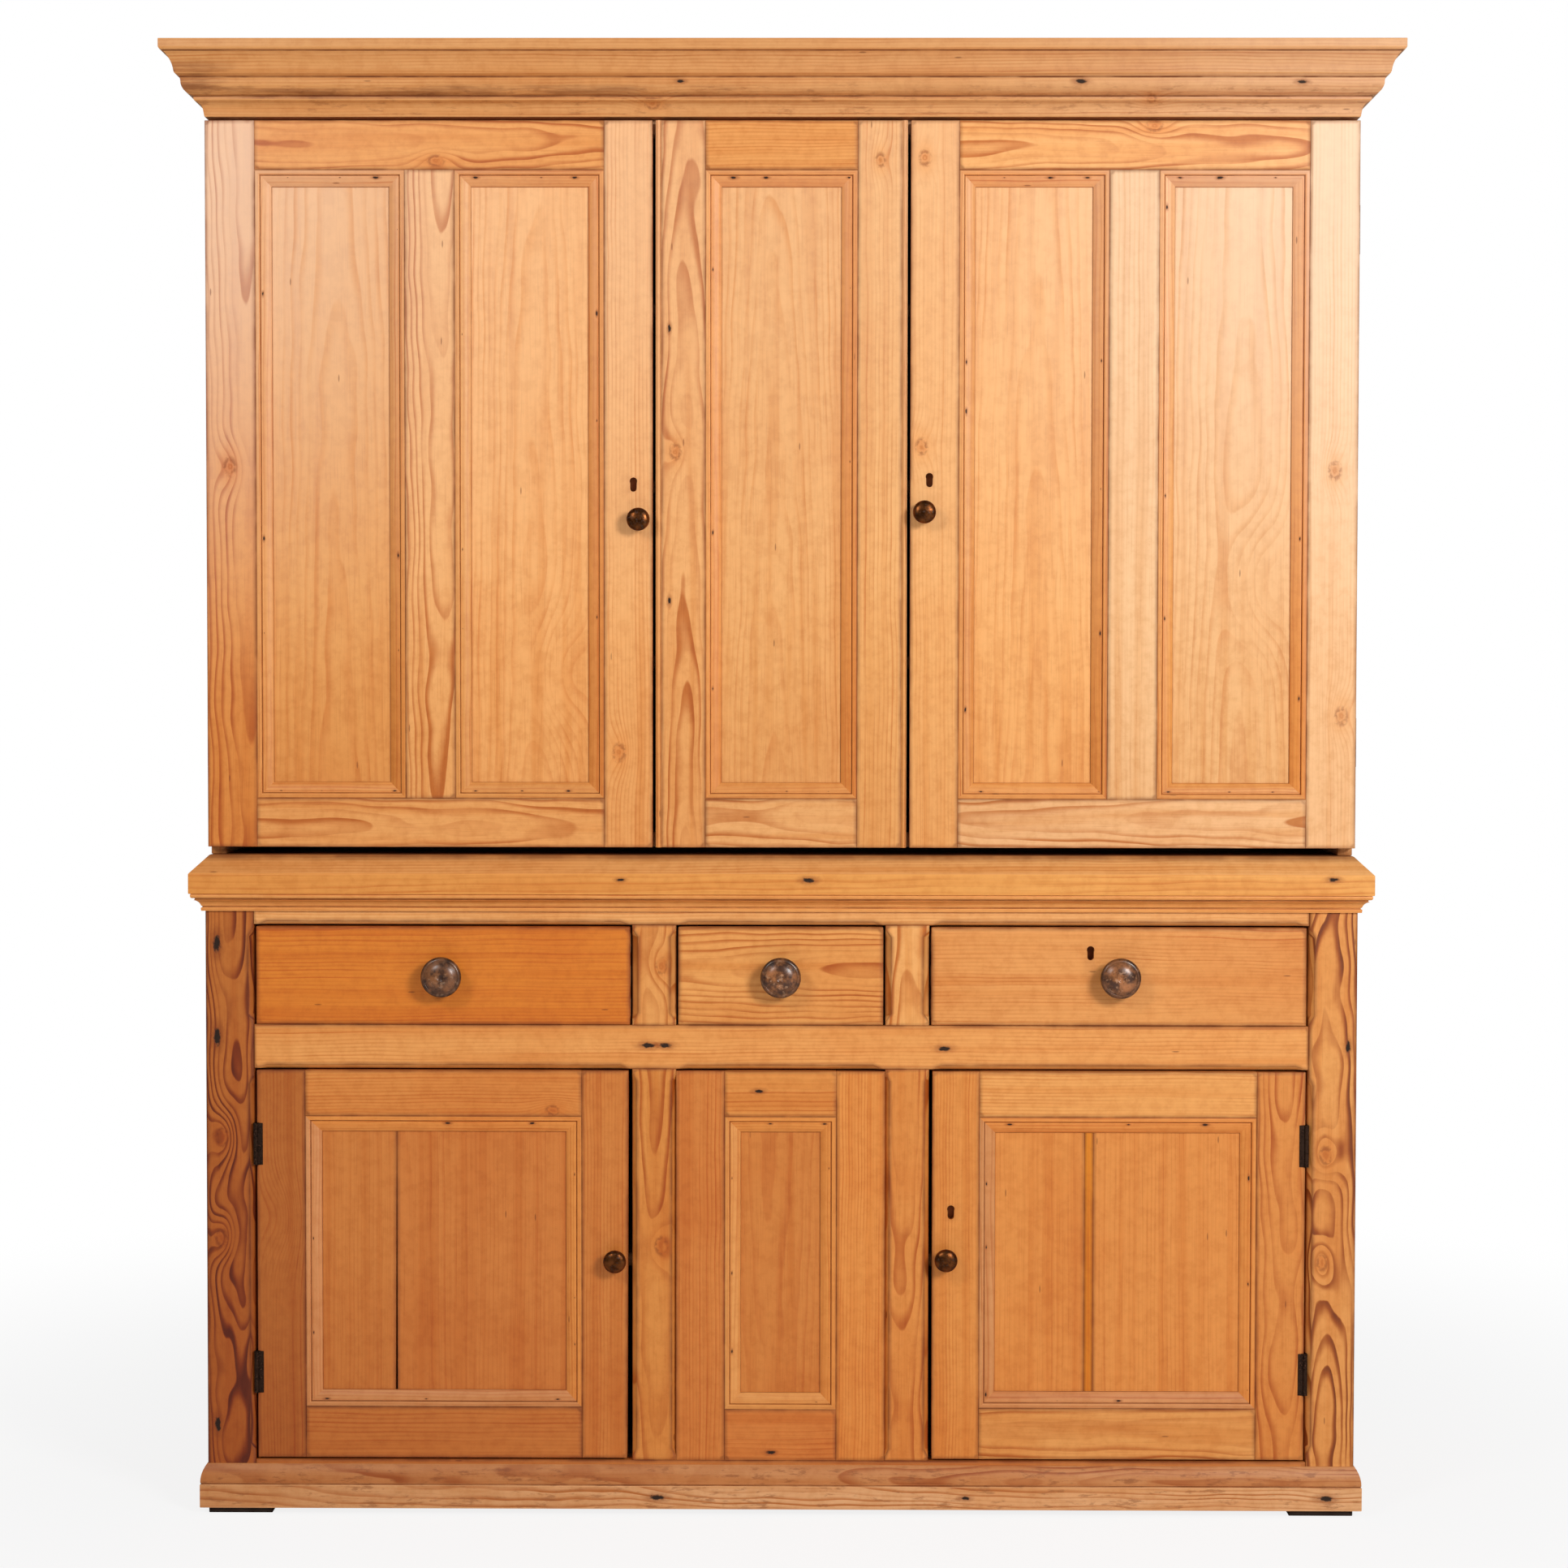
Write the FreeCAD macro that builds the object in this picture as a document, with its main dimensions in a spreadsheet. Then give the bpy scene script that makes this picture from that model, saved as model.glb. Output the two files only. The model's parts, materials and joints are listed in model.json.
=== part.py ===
"""A two-stage pine linen press: cupboard above, three drawers and a cupboard below.

Millimetres, +Z up, the front faces -Y. The origin is on the floor, under the middle of the
whole press. Depths are counted back from the plane of the door and drawer fronts, heights
up from the floor, and widths out from the middle line.
"""

import FreeCAD, Part
import os
import Sketcher
from types import SimpleNamespace

Vector = FreeCAD.Vector

doc = FreeCAD.newDocument("linen_press")
sheet = doc.addObject("Spreadsheet::Sheet", "Sizes")

# Driving sizes, each written once
SIZES = {
    # The two stages
    "case_depth": 540,
    "upper_width": 1696,
    "stage_step": 5,
    "board_thickness": 22,
    "back_thickness": 12,
    "housing_depth": 7,
    # Heights of the lower stage, from the floor up
    "foot_height": 10,
    "plinth_height": 65,
    "bottom_rail_height": 71,
    "cupboard_opening_height": 585,
    "mid_rail_height": 65,
    "drawer_opening_height": 149,
    "top_rail_reveal": 20,
    "bed_height": 26,
    "waist_thickness": 57,
    # Front frame of the lower stage
    "post_width": 72,
    "post_depth": 45,
    "divider_width": 65,
    "centre_opening_width": 310,
    "frame_thickness": 22,
    "frame_tenon": 30,
    # Waist board, bed moulding, plinth and feet
    "waist_overhang": 21,
    "waist_chamfer_depth": 27,
    "waist_chamfer_height": 27,
    "bed_reach": 18,
    "bed_foot_reach": 5.5,
    "bed_bead_height": 7,
    "bed_bead_overhang": 2,
    "bed_foot_height": 5,
    "bed_cove_radius": 12,
    "plinth_reach": 10.5,
    "plinth_flat_height": 35,
    "plinth_quirk": 1.5,
    "plinth_nosing": 1.5,
    "foot_length": 95,
    "foot_width": 60,
    "foot_inset": 1,
    # Upper stage
    "skid_gap": 12,
    "upper_door_height": 1068,
    "upper_centre_width": 370,
    "door_head_gap": 5,
    "upright_width": 45,
    "upright_depth": 40,
    "shelf_thickness": 20,
    "bearer_height": 30,
    "bearer_thickness": 18,
    # Cornice
    "cornice_height": 103,
    "cornice_projection": 56,
    "cornice_seat": 36,
    "cornice_back_rail_height": 70,
    # Framed doors and panels
    "door_thickness": 22,
    "door_gap": 2,
    "door_clearance": 3,
    "stile_width": 73,
    "lower_stile_width": 72,
    "muntin_width": 73,
    "top_rail_width": 72,
    "bottom_rail_width": 72,
    "lower_top_rail_width": 68,
    "lower_bottom_rail_width": 76,
    "tenon_length": 45,
    "tenon_thickness": 7,
    "tenon_shoulder": 11,
    "muntin_tenon": 25,
    "panel_thickness": 7,
    "panel_recess": 11,
    "groove_depth": 9,
    "moulding_width": 24,
    "moulding_height": 10,
    "moulding_fillet": 7,
    "moulding_quirk": 2,
    "moulding_edge": 2,
    "centre_bead_width": 8,
    "centre_bead_proud": 2,
    # Hinges
    "upper_hinge_height": 72,
    "lower_hinge_height": 62,
    "upper_hinge_inset": 156,
    "lower_hinge_head_inset": 110,
    "lower_hinge_foot_inset": 128,
    "hinge_barrel_radius": 3.5,
    "hinge_pin_radius": 1.75,
    "hinge_leaf_width": 19,
    "hinge_leaf_thickness": 1.8,
    "hinge_clearance": 0.4,
    "hinge_pin_clearance": 0.05,
    "upper_hinge_stand": 1,
    "lower_hinge_stand": 0.5,
    # Turning knobs of the doors
    "door_knob_radius": 17,
    "door_knob_projection": 30,
    "door_knob_crown": 9,
    "door_knob_neck_radius": 8,
    "spindle_radius": 4,
    "spindle_clearance": 0.3,
    "knob_backset": 22,
    "tongue_length": 38,
    "tongue_width": 14,
    "tongue_thickness": 3,
    "tongue_gap": 2,
    "upper_left_knob_height": 483,
    "upper_right_knob_height": 494,
    "lower_left_knob_height": 298,
    "lower_right_knob_height": 301,
    # Locks
    "lock_width": 58,
    "lock_height": 46,
    "lock_depth": 13,
    "lock_backset": 30,
    "lock_edge_inset": 3,
    "bolt_width": 12,
    "bolt_thickness": 6,
    "bolt_length": 34,
    "bolt_clearance": 0.3,
    "keyhole_radius": 3.4,
    "keyhole_slot_width": 4,
    "keyhole_slot_drop": 12,
    "upper_left_keyhole_height": 540,
    "upper_right_keyhole_height": 547,
    "lower_right_keyhole_height": 374,
    "drawer_keyhole_drop": 33,
    "drawer_keyhole_offset": 42,
    # Drawers
    "drawer_front_thickness": 22,
    "drawer_back_clearance": 43,
    "drawer_side_thickness": 12,
    "drawer_bottom_thickness": 8,
    "drawer_bottom_rise": 10,
    "drawer_bottom_groove": 6,
    "drawer_side_clearance": 3,
    "drawer_top_clearance": 3,
    "drawer_slide_clearance": 0.3,
    "dovetail_length": 14,
    "dovetail_neck": 22,
    "dovetail_flare": 4,
    "drawer_knob_radius": 30,
    "drawer_knob_projection": 38,
    "drawer_knob_crown": 11,
    "drawer_knob_neck_radius": 14,
    "drawer_knob_dowel_radius": 8,
    "runner_thickness": 20,
    "runner_lap": 30,
    "guide_height": 40,
}
SHELVES = 3
BACK_BOARDS = 8
TAILS = 3


class Expr:
    """A length worked out from the sheet: its text for setExpression, and its value."""

    def __init__(self, text, value):
        self.text = text
        self.value = value

    def joined(self, sign, other, value):
        return Expr(f"({self.text} {sign} {as_expr(other).text})", value)

    def __add__(self, other):
        return self.joined("+", other, self.value + as_expr(other).value)

    def __sub__(self, other):
        return self.joined("-", other, self.value - as_expr(other).value)

    def __mul__(self, other):
        return self.joined("*", other, self.value * as_expr(other).value)

    def __truediv__(self, other):
        return self.joined("/", other, self.value / as_expr(other).value)

    def __radd__(self, other):
        return as_expr(other) + self

    def __rsub__(self, other):
        return as_expr(other) - self

    def __rmul__(self, other):
        return as_expr(other) * self

    def __neg__(self):
        return Expr(f"(0 - {self.text})", -self.value)


def as_expr(term):
    """Give a plain number the same form as a length from the sheet."""
    return term if isinstance(term, Expr) else Expr(str(term), float(term))


for row, (alias, size) in enumerate(SIZES.items(), start=1):
    sheet.set(f"A{row}", alias)
    sheet.set(f"B{row}", str(size))
    sheet.setAlias(f"B{row}", alias)
doc.recompute()
S = SimpleNamespace(**{alias: Expr(f"Sizes.{alias}", float(size)) for alias, size in SIZES.items()})

NODES = []

# The plane of the door and drawer fronts, set so that the whole press is centred on Y
FRONT = (S.cornice_projection - S.case_depth) / 2
LEFT = -1
RIGHT = 1

AXIS_X = Vector(1, 0, 0)
AXIS_Y = Vector(0, 1, 0)
AXIS_Z = Vector(0, 0, 1)


def bind(thing, **sizes):
    """Tie properties to the sheet."""
    for name, size in sizes.items():
        thing.setExpression(name, as_expr(size).text)


def place(thing, x, d, z, rotation=None):
    """Put a thing at a width x, a depth d behind the fronts and a height z."""
    if rotation is not None:
        thing.Placement = FreeCAD.Placement(Vector(), rotation)
    for axis, size in (("x", x), ("y", FRONT + d), ("z", z)):
        thing.setExpression(f"Placement.Base.{axis}", as_expr(size).text)
    return thing


def axes(x_axis, y_axis, z_axis):
    """The turn that carries the three axes to these directions."""
    return FreeCAD.Rotation(x_axis, y_axis, z_axis, "ZXY")


def mirrored(side, inner, outer):
    """The span in X of something that reaches from inner to outer on one side."""
    if side == RIGHT:
        return as_expr(inner), as_expr(outer)
    return -as_expr(outer), -as_expr(inner)


def box(name, x, d, z):
    """A block between two widths, two depths and two heights."""
    block = doc.addObject("Part::Box", name)
    bind(block, Length=x[1] - x[0], Width=d[1] - d[0], Height=z[1] - z[0])
    return place(block, x[0], d[0], z[0])


def rod(name, radius, length, x, d, z, rotation=None):
    """A cylinder that starts at a point and runs along its own axis."""
    cylinder = doc.addObject("Part::Cylinder", name)
    bind(cylinder, Radius=radius, Height=length)
    return place(cylinder, x, d, z, rotation)


def fuse(name, shapes):
    """Join shapes into one solid."""
    joined = doc.addObject("Part::MultiFuse", name)
    joined.Shapes = shapes
    return joined


def cut(name, base, tools):
    """Take tools away from a base."""
    result = doc.addObject("Part::Cut", name)
    result.Base = base
    result.Tool = tools[0] if len(tools) == 1 else fuse(f"{name}_tools", tools)
    return result


def group(name, members):
    """Keep separate solids together in one node."""
    compound = doc.addObject("Part::Compound", name)
    compound.Links = members
    return compound


def node(label, shape):
    """Name a finished sub-part."""
    shape.Label = label
    NODES.append(shape)
    return shape


def arc_middle(start, end, radius):
    """The middle of the shorter arc between two points, hollow where the radius is negative."""
    chord = end - start
    middle = (start + end) / 2
    outward = Vector(chord.y, -chord.x, 0) / chord.Length
    height = abs(radius) - (radius * radius - chord.Length * chord.Length / 4) ** 0.5
    return middle + outward * (height if radius > 0 else -height)


def profile(name, corners):
    """An outline drawn anticlockwise from corners (across, up) or (across, up, radius).

    A third value makes the run to the next corner an arc, hollow where it is negative.
    """
    sketch = doc.addObject("Sketcher::SketchObject", name)
    spots = [Vector(as_expr(corner[0]).value, as_expr(corner[1]).value, 0) for corner in corners]
    ends = []
    for index, corner in enumerate(corners):
        start = spots[index]
        end = spots[(index + 1) % len(spots)]
        if len(corner) == 2:
            ends.append((sketch.addGeometry(Part.LineSegment(start, end)), 1, 2))
            continue
        radius = as_expr(corner[2])
        middle = arc_middle(start, end, radius.value)
        arc = sketch.addGeometry(Part.Arc(start, middle, end))
        ends.append((arc, 1, 2) if radius.value > 0 else (arc, 2, 1))
        size = radius if radius.value > 0 else -radius
        limit = sketch.addConstraint(Sketcher.Constraint("Radius", arc, size.value))
        sketch.setExpression(f"Constraints[{limit}]", size.text)
    for index, (run, first, last) in enumerate(ends):
        following = ends[(index + 1) % len(ends)]
        sketch.addConstraint(Sketcher.Constraint("Coincident", run, last, following[0], following[1]))
        for kind, size in zip(("DistanceX", "DistanceY"), corners[index]):
            size = as_expr(size)
            limit = sketch.addConstraint(Sketcher.Constraint(kind, -1, 1, run, first, size.value))
            sketch.setExpression(f"Constraints[{limit}]", size.text)
    return sketch


def moulded_length(name, outline, corner, outward, upward, length, reach, height, flares):
    """A length of moulding, mitred at its ends.

    It starts at corner = (x, d, z) and runs along outward x upward. A flare of 1 makes an end
    longer outwards, -1 makes it shorter outwards, and 0 leaves it square.
    """
    along = outward.cross(upward)
    bar = doc.addObject("Part::Extrusion", f"{name}_bar")
    bar.Base = outline
    bar.DirMode = "Custom"
    bar.Dir = AXIS_Z
    bar.Solid = True
    bind(bar, LengthFwd=length + reach, LengthRev=reach)
    place(bar, *corner, axes(outward, upward, along))
    mitre = doc.addObject("Part::Wedge", f"{name}_mitre")
    bind(mitre, Xmin=0, Xmax=length, Ymin=0, Ymax=reach, Zmin=0, Zmax=height, Z2min=0, Z2max=height)
    bind(mitre, X2min=-(reach * flares[0]), X2max=length + reach * flares[1])
    place(mitre, *corner, axes(along, outward, upward))
    piece = doc.addObject("Part::Common", name)
    piece.Base = bar
    piece.Tool = mitre
    return piece


def moulded_run(name, outline, half_width, depth, z, reach, height):
    """A moulding round the front and both sides, from its inner faces out."""
    front = moulded_length(
        f"{name}_front", outline, (half_width, depth, z), -AXIS_Y, AXIS_Z,
        half_width * 2, reach, height, (1, 1))
    left = moulded_length(
        f"{name}_left", outline, (-half_width, depth, z), -AXIS_X, AXIS_Z,
        S.case_depth - depth, reach, height, (1, 0))
    right = moulded_length(
        f"{name}_right", outline, (half_width, S.case_depth, z), AXIS_X, AXIS_Z,
        S.case_depth - depth, reach, height, (0, 1))
    return front, left, right


# Heights up the press
z_cupboard_floor = S.foot_height + S.bottom_rail_height
z_mid_rail_bottom = z_cupboard_floor + S.cupboard_opening_height
z_mid_rail_top = z_mid_rail_bottom + S.mid_rail_height
z_top_rail_bottom = z_mid_rail_top + S.drawer_opening_height
z_bed_bottom = z_top_rail_bottom + S.top_rail_reveal
z_waist_bottom = z_bed_bottom + S.bed_height
z_waist_top = z_waist_bottom + S.waist_thickness
z_upper_floor = z_waist_top + S.skid_gap
z_door_head = z_upper_floor + S.upper_door_height
z_cornice = z_door_head + S.door_head_gap

# Widths from the middle line
upper_half = S.upper_width / 2
lower_half = upper_half + S.stage_step
upper_inside = upper_half - S.board_thickness
lower_inside = lower_half - S.board_thickness
post_inner = lower_half - S.post_width
centre_half = S.centre_opening_width / 2
divider_outer = centre_half + S.divider_width
upper_centre_half = S.upper_centre_width / 2
upper_door_lock_edge = upper_centre_half + S.door_clearance
lower_door_hinge_edge = post_inner - S.door_clearance
lower_door_lock_edge = divider_outer + S.door_clearance

# Depths behind the fronts
upper_case_front = S.door_thickness + S.door_gap
back_inside = S.case_depth - S.back_thickness
upright_back = S.door_thickness + S.upright_depth
drawer_back = back_inside - S.drawer_back_clearance

PANEL_OUTLINE = profile("panel_moulding_outline", [
    (0, 0),
    (S.moulding_width, 0),
    (S.moulding_width, S.moulding_edge, S.moulding_width),
    (S.moulding_fillet, S.moulding_height - S.moulding_quirk),
    (S.moulding_fillet, S.moulding_height),
    (0, S.moulding_height),
])


def panel_mouldings(name, x, z):
    """Four mitred lengths planted round a panel, inside its frame."""
    depth = S.panel_recess
    width = x[1] - x[0]
    height = z[1] - z[0]
    runs = (
        ("head", (x[1], depth, z[1]), -AXIS_Z, width),
        ("foot", (x[0], depth, z[0]), AXIS_Z, width),
        ("left", (x[0], depth, z[1]), AXIS_X, height),
        ("right", (x[1], depth, z[0]), -AXIS_X, height),
    )
    return [
        moulded_length(f"{name}_{place_name}", PANEL_OUTLINE, corner, inward, -AXIS_Y,
                       length, S.moulding_width, S.moulding_height, (-1, -1))
        for place_name, corner, inward, length in runs
    ]


def framed_panels(name, x, z, stile, rails, bays, left_cuts=(), right_cuts=()):
    """A frame of stiles and rails, tenoned together, round one or two grooved-in panels."""
    thick = (as_expr(0), S.door_thickness)
    tenon_d = ((S.door_thickness - S.tenon_thickness) / 2, (S.door_thickness + S.tenon_thickness) / 2)
    inner_x = (x[0] + stile, x[1] - stile)
    opening = (z[0] + rails[1], z[1] - rails[0])
    if bays == 2:
        middle = (x[0] + x[1]) / 2
        muntin_x = (middle - S.muntin_width / 2, middle + S.muntin_width / 2)
        bay_spans = [(inner_x[0], muntin_x[0]), (muntin_x[1], inner_x[1])]
    else:
        bay_spans = [inner_x]
    groove = S.groove_depth
    panels = [
        box(f"{name}_panel_{index}", (span[0] - groove, span[1] + groove),
            (S.panel_recess, S.panel_recess + S.panel_thickness),
            (opening[0] - groove, opening[1] + groove))
        for index, span in enumerate(bay_spans)
    ]
    mouldings = []
    for index, span in enumerate(bay_spans):
        mouldings += panel_mouldings(f"{name}_moulding_{index}", span, opening)
    muntin_tools = []
    members = []
    if bays == 2:
        tenon = S.muntin_tenon
        post = box(f"{name}_muntin_post", muntin_x, thick, opening)
        tongue = box(f"{name}_muntin_tongue", (muntin_x[0] + S.tenon_shoulder, muntin_x[1] - S.tenon_shoulder),
                     tenon_d, (opening[0] - tenon, opening[1] + tenon))
        muntin_tools = [tongue]
        members.append(cut(f"{name}_muntin", fuse(f"{name}_muntin_whole", [post, tongue]), panels))
    tenons = []
    for rail_name, rail_z in (("foot_rail", (z[0], opening[0])), ("head_rail", (opening[1], z[1]))):
        bar = box(f"{name}_{rail_name}_bar", inner_x, thick, rail_z)
        tenon = box(f"{name}_{rail_name}_tenon", (inner_x[0] - S.tenon_length, inner_x[1] + S.tenon_length),
                    tenon_d, (rail_z[0] + S.tenon_shoulder, rail_z[1] - S.tenon_shoulder))
        tenons.append(tenon)
        whole = fuse(f"{name}_{rail_name}_whole", [bar, tenon])
        members.append(cut(f"{name}_{rail_name}", whole, panels + muntin_tools))
    for stile_name, stile_x, cuts in (
            ("left_stile", (x[0], inner_x[0]), left_cuts), ("right_stile", (inner_x[1], x[1]), right_cuts)):
        bar = box(f"{name}_{stile_name}_bar", stile_x, thick, z)
        members.append(cut(f"{name}_{stile_name}", bar, tenons + panels + list(cuts)))
    return members, panels + mouldings


def hinge(name, side, layout, axis_u, axis_d, gap, z_middle, height):
    """A butt hinge of three knuckles on a vertical pin.

    In an overlay the leaves run inwards, across the door's back. In an inset the leaves run
    back, along the door's edge. Returns the two leaves, the pin and what each side has cut out.
    """
    room = S.hinge_barrel_radius + S.hinge_clearance
    low = z_middle - height / 2
    knuckle = height / 3
    whole_z = (low, low + height)

    def plate(plate_name, reach, stack, z):
        if layout == "overlay":
            across = mirrored(side, axis_u - reach[1], axis_u - reach[0])
            return box(plate_name, across, (axis_d + stack[0], axis_d + stack[1]), z)
        across = mirrored(side, axis_u + stack[0], axis_u + stack[1])
        return box(plate_name, across, (axis_d + reach[0], axis_d + reach[1]), z)

    def barrel(barrel_name, radius, z):
        return rod(barrel_name, radius, z[1] - z[0], axis_u * side, axis_d, z[0])

    def leaf(leaf_name, stack, knuckles, bore):
        flat = plate(f"{leaf_name}_flat", (room, S.hinge_leaf_width), stack, whole_z)
        pieces = [flat]
        for index, z in enumerate(knuckles):
            pieces.append(plate(f"{leaf_name}_wrap_{index}", (as_expr(0), room), stack, z))
            pieces.append(barrel(f"{leaf_name}_knuckle_{index}", S.hinge_barrel_radius, z))
        hole = barrel(f"{leaf_name}_bore", bore, whole_z)
        return cut(leaf_name, fuse(f"{leaf_name}_whole", pieces), [hole]), flat

    door_stack = (-(gap / 2) - S.hinge_leaf_thickness, -(gap / 2))
    case_stack = (gap / 2, gap / 2 + S.hinge_leaf_thickness)
    half_space = S.hinge_clearance / 2
    door_knuckles = [(low + knuckle + half_space, low + knuckle * 2 - half_space)]
    case_knuckles = [(low, low + knuckle - half_space), (low + knuckle * 2 + half_space, low + height)]
    bore = S.hinge_pin_radius + S.hinge_pin_clearance
    door_leaf, door_flat = leaf(f"{name}_door_leaf", door_stack, door_knuckles, bore)
    case_leaf, case_flat = leaf(f"{name}_case_leaf", case_stack, case_knuckles, S.hinge_pin_radius)
    pin = barrel(f"{name}_pin", S.hinge_pin_radius, whole_z)
    door_room = plate(f"{name}_door_room", (as_expr(0), room), (-room, -(gap / 2)), whole_z)
    case_room = plate(f"{name}_case_room", (as_expr(0), room), (gap / 2, room), whole_z)
    return SimpleNamespace(
        door_leaf=door_leaf, case_leaf=case_leaf, pin=pin,
        door_cuts=[door_flat, door_room], case_cuts=[case_flat, case_room])


# A turned outline has its axis along the sketch's up direction, and a rod along its own Z
TURNED_FORWARD = axes(AXIS_X, -AXIS_Y, -AXIS_Z)
ROD_FORWARD = axes(AXIS_X, AXIS_Z, -AXIS_Y)


def turned(name, outline, x, d, z):
    """Spin an outline round its up axis and point that axis at the viewer."""
    spun = doc.addObject("Part::Revolution", name)
    spun.Source = outline
    spun.Axis = AXIS_Y
    spun.Base = Vector()
    spun.Angle = 360
    spun.Solid = True
    return place(spun, x, d, z, TURNED_FORWARD)


def cap_radius(rim, rise):
    """The radius of a round cap with its centre on the axis, from its rim and its rise."""
    return (rim * rim + rise * rise) / (rise * 2)


DOOR_KNOB_OUTLINE = profile("door_knob_outline", [
    (0, -(S.door_thickness + S.tongue_gap + S.tongue_thickness * 2)),
    (S.spindle_radius, -(S.door_thickness + S.tongue_gap + S.tongue_thickness * 2)),
    (S.spindle_radius, S.spindle_clearance),
    (S.door_knob_neck_radius, S.spindle_clearance),
    (S.door_knob_neck_radius, S.door_knob_projection / 3),
    (S.door_knob_radius, S.door_knob_projection / 2),
    (S.door_knob_radius, S.door_knob_projection - S.door_knob_crown,
     cap_radius(S.door_knob_radius, S.door_knob_crown)),
    (0, S.door_knob_projection),
])
DRAWER_KNOB_OUTLINE = profile("drawer_knob_outline", [
    (0, -S.drawer_front_thickness),
    (S.drawer_knob_dowel_radius, -S.drawer_front_thickness),
    (S.drawer_knob_dowel_radius, 0),
    (S.drawer_knob_neck_radius, 0),
    (S.drawer_knob_neck_radius, S.drawer_knob_projection / 3),
    (S.drawer_knob_radius, S.drawer_knob_projection / 2),
    (S.drawer_knob_radius, S.drawer_knob_projection - S.drawer_knob_crown,
     cap_radius(S.drawer_knob_radius, S.drawer_knob_crown)),
    (0, S.drawer_knob_projection),
])


def turn_latch(name, side, lock_edge, z):
    """A door knob on a spindle, with a tongue behind the door that turns past the lock edge."""
    x = (lock_edge + S.knob_backset) * side
    knob = turned(f"{name}_knob", DOOR_KNOB_OUTLINE, x, 0, z)
    tongue_d = (S.door_thickness + S.tongue_gap, S.door_thickness + S.tongue_gap + S.tongue_thickness)
    half = S.tongue_width / 2
    blade = box(f"{name}_blade", (x - half, x + half), tongue_d, (z - S.tongue_length, z + half))
    spindle = rod(f"{name}_eye", S.spindle_radius, S.tongue_thickness, x, tongue_d[1], z, ROD_FORWARD)
    node(name, group(f"{name}_set", [knob, cut(f"{name}_tongue", blade, [spindle])]))
    clear = S.spindle_radius + S.spindle_clearance
    return [rod(f"{name}_bore", clear, S.door_thickness, x, S.door_thickness, z, ROD_FORWARD)]


def keyhole(name, x, z, thickness):
    """A round hole over a narrow slot, right through a front."""
    round_hole = rod(f"{name}_round", S.keyhole_radius, thickness, x, thickness, z, ROD_FORWARD)
    half = S.keyhole_slot_width / 2
    slot = box(f"{name}_slot", (x - half, x + half), (as_expr(0), thickness), (z - S.keyhole_slot_drop, z))
    return [round_hole, slot]


def lock_and_bolt(name, x, z, thickness, bolt_x, bolt_z):
    """A lock case on the back of a front, with a bolt that slides in a channel cut out of it."""
    case_d = (thickness, thickness + S.lock_depth)
    case = box(f"{name}_block", x, case_d, z)
    middle_d = thickness + S.lock_depth / 2
    bolt_d = (middle_d - S.bolt_thickness / 2, middle_d + S.bolt_thickness / 2)
    bolt = box(f"{name}_tongue", bolt_x, bolt_d, bolt_z)
    gap = S.bolt_clearance
    channel = box(f"{name}_channel", (bolt_x[0] - gap, bolt_x[1] + gap),
                  (bolt_d[0] - gap, bolt_d[1] + gap), (bolt_z[0] - gap, bolt_z[1] + gap))
    node(f"{name}_bolt", bolt)
    return cut(f"{name}_box", case, [channel])


def door_lock(name, side, lock_edge, z):
    """The lock of a door: the case lies on the lock stile, and the bolt faces the lock edge."""
    near = lock_edge + S.lock_edge_inset
    half = S.lock_height / 2
    bolt_half = S.bolt_width / 2
    case = lock_and_bolt(
        name, mirrored(side, near, near + S.lock_width), (z - half, z + half), S.door_thickness,
        mirrored(side, near, near + S.bolt_length), (z - bolt_half, z + bolt_half))
    return case, keyhole(f"{name}_keyhole", (lock_edge + S.lock_backset) * side, z, S.door_thickness)


CASE_LEAVES = []
HINGE_PINS = []


def door(name, side, edges, z, stile, rails, bays, hinges, latch_cuts, lock):
    """A hung door: its frame, panels and ironwork. Returns what its hinges cut from the case."""
    lock_edge, hinge_edge = edges
    lock_cuts = list(latch_cuts)
    ironwork = [pair.door_leaf for pair in hinges]
    if lock is not None:
        case, hole = lock
        ironwork.append(case)
        lock_cuts += hole
    hinge_cuts = []
    case_cuts = []
    for pair in hinges:
        hinge_cuts += pair.door_cuts
        case_cuts += pair.case_cuts
        CASE_LEAVES.append(pair.case_leaf)
        HINGE_PINS.append(pair.pin)
    cuts = (lock_cuts, hinge_cuts) if side == RIGHT else (hinge_cuts, lock_cuts)
    frame, panels = framed_panels(name, mirrored(side, lock_edge, hinge_edge), z, stile, rails, bays, *cuts)
    node(f"{name}_frame", group(f"{name}_members", frame))
    node(f"{name}_panels", group(f"{name}_fillings", panels))
    node(f"{name}_ironwork", group(f"{name}_irons", ironwork))
    return case_cuts


# Upper doors, hung over the front edges of the case
upper_door_z = (z_upper_floor, z_door_head)
upper_rails = (S.top_rail_width, S.bottom_rail_width)
upper_side_cuts = {}
for side, hand in ((LEFT, "left"), (RIGHT, "right")):
    name = f"upper_{hand}_door"
    heights = (z_door_head - S.upper_hinge_inset, z_upper_floor + S.upper_hinge_inset)
    hinges = [
        hinge(f"{name}_hinge_{index}", side, "overlay", upper_half + S.upper_hinge_stand,
              S.door_thickness + S.door_gap / 2, S.door_gap, height, S.upper_hinge_height)
        for index, height in enumerate(heights)
    ]
    knob_rise = getattr(S, f"upper_{hand}_knob_height")
    key_rise = getattr(S, f"upper_{hand}_keyhole_height")
    latch_cuts = turn_latch(f"upper_{hand}_knob", side, upper_door_lock_edge, z_upper_floor + knob_rise)
    lock = door_lock(f"upper_{hand}_lock", side, upper_door_lock_edge, z_upper_floor + key_rise)
    upper_side_cuts[hand] = door(
        name, side, (upper_door_lock_edge, upper_half), upper_door_z, S.stile_width, upper_rails, 2,
        hinges, latch_cuts, lock)

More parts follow.
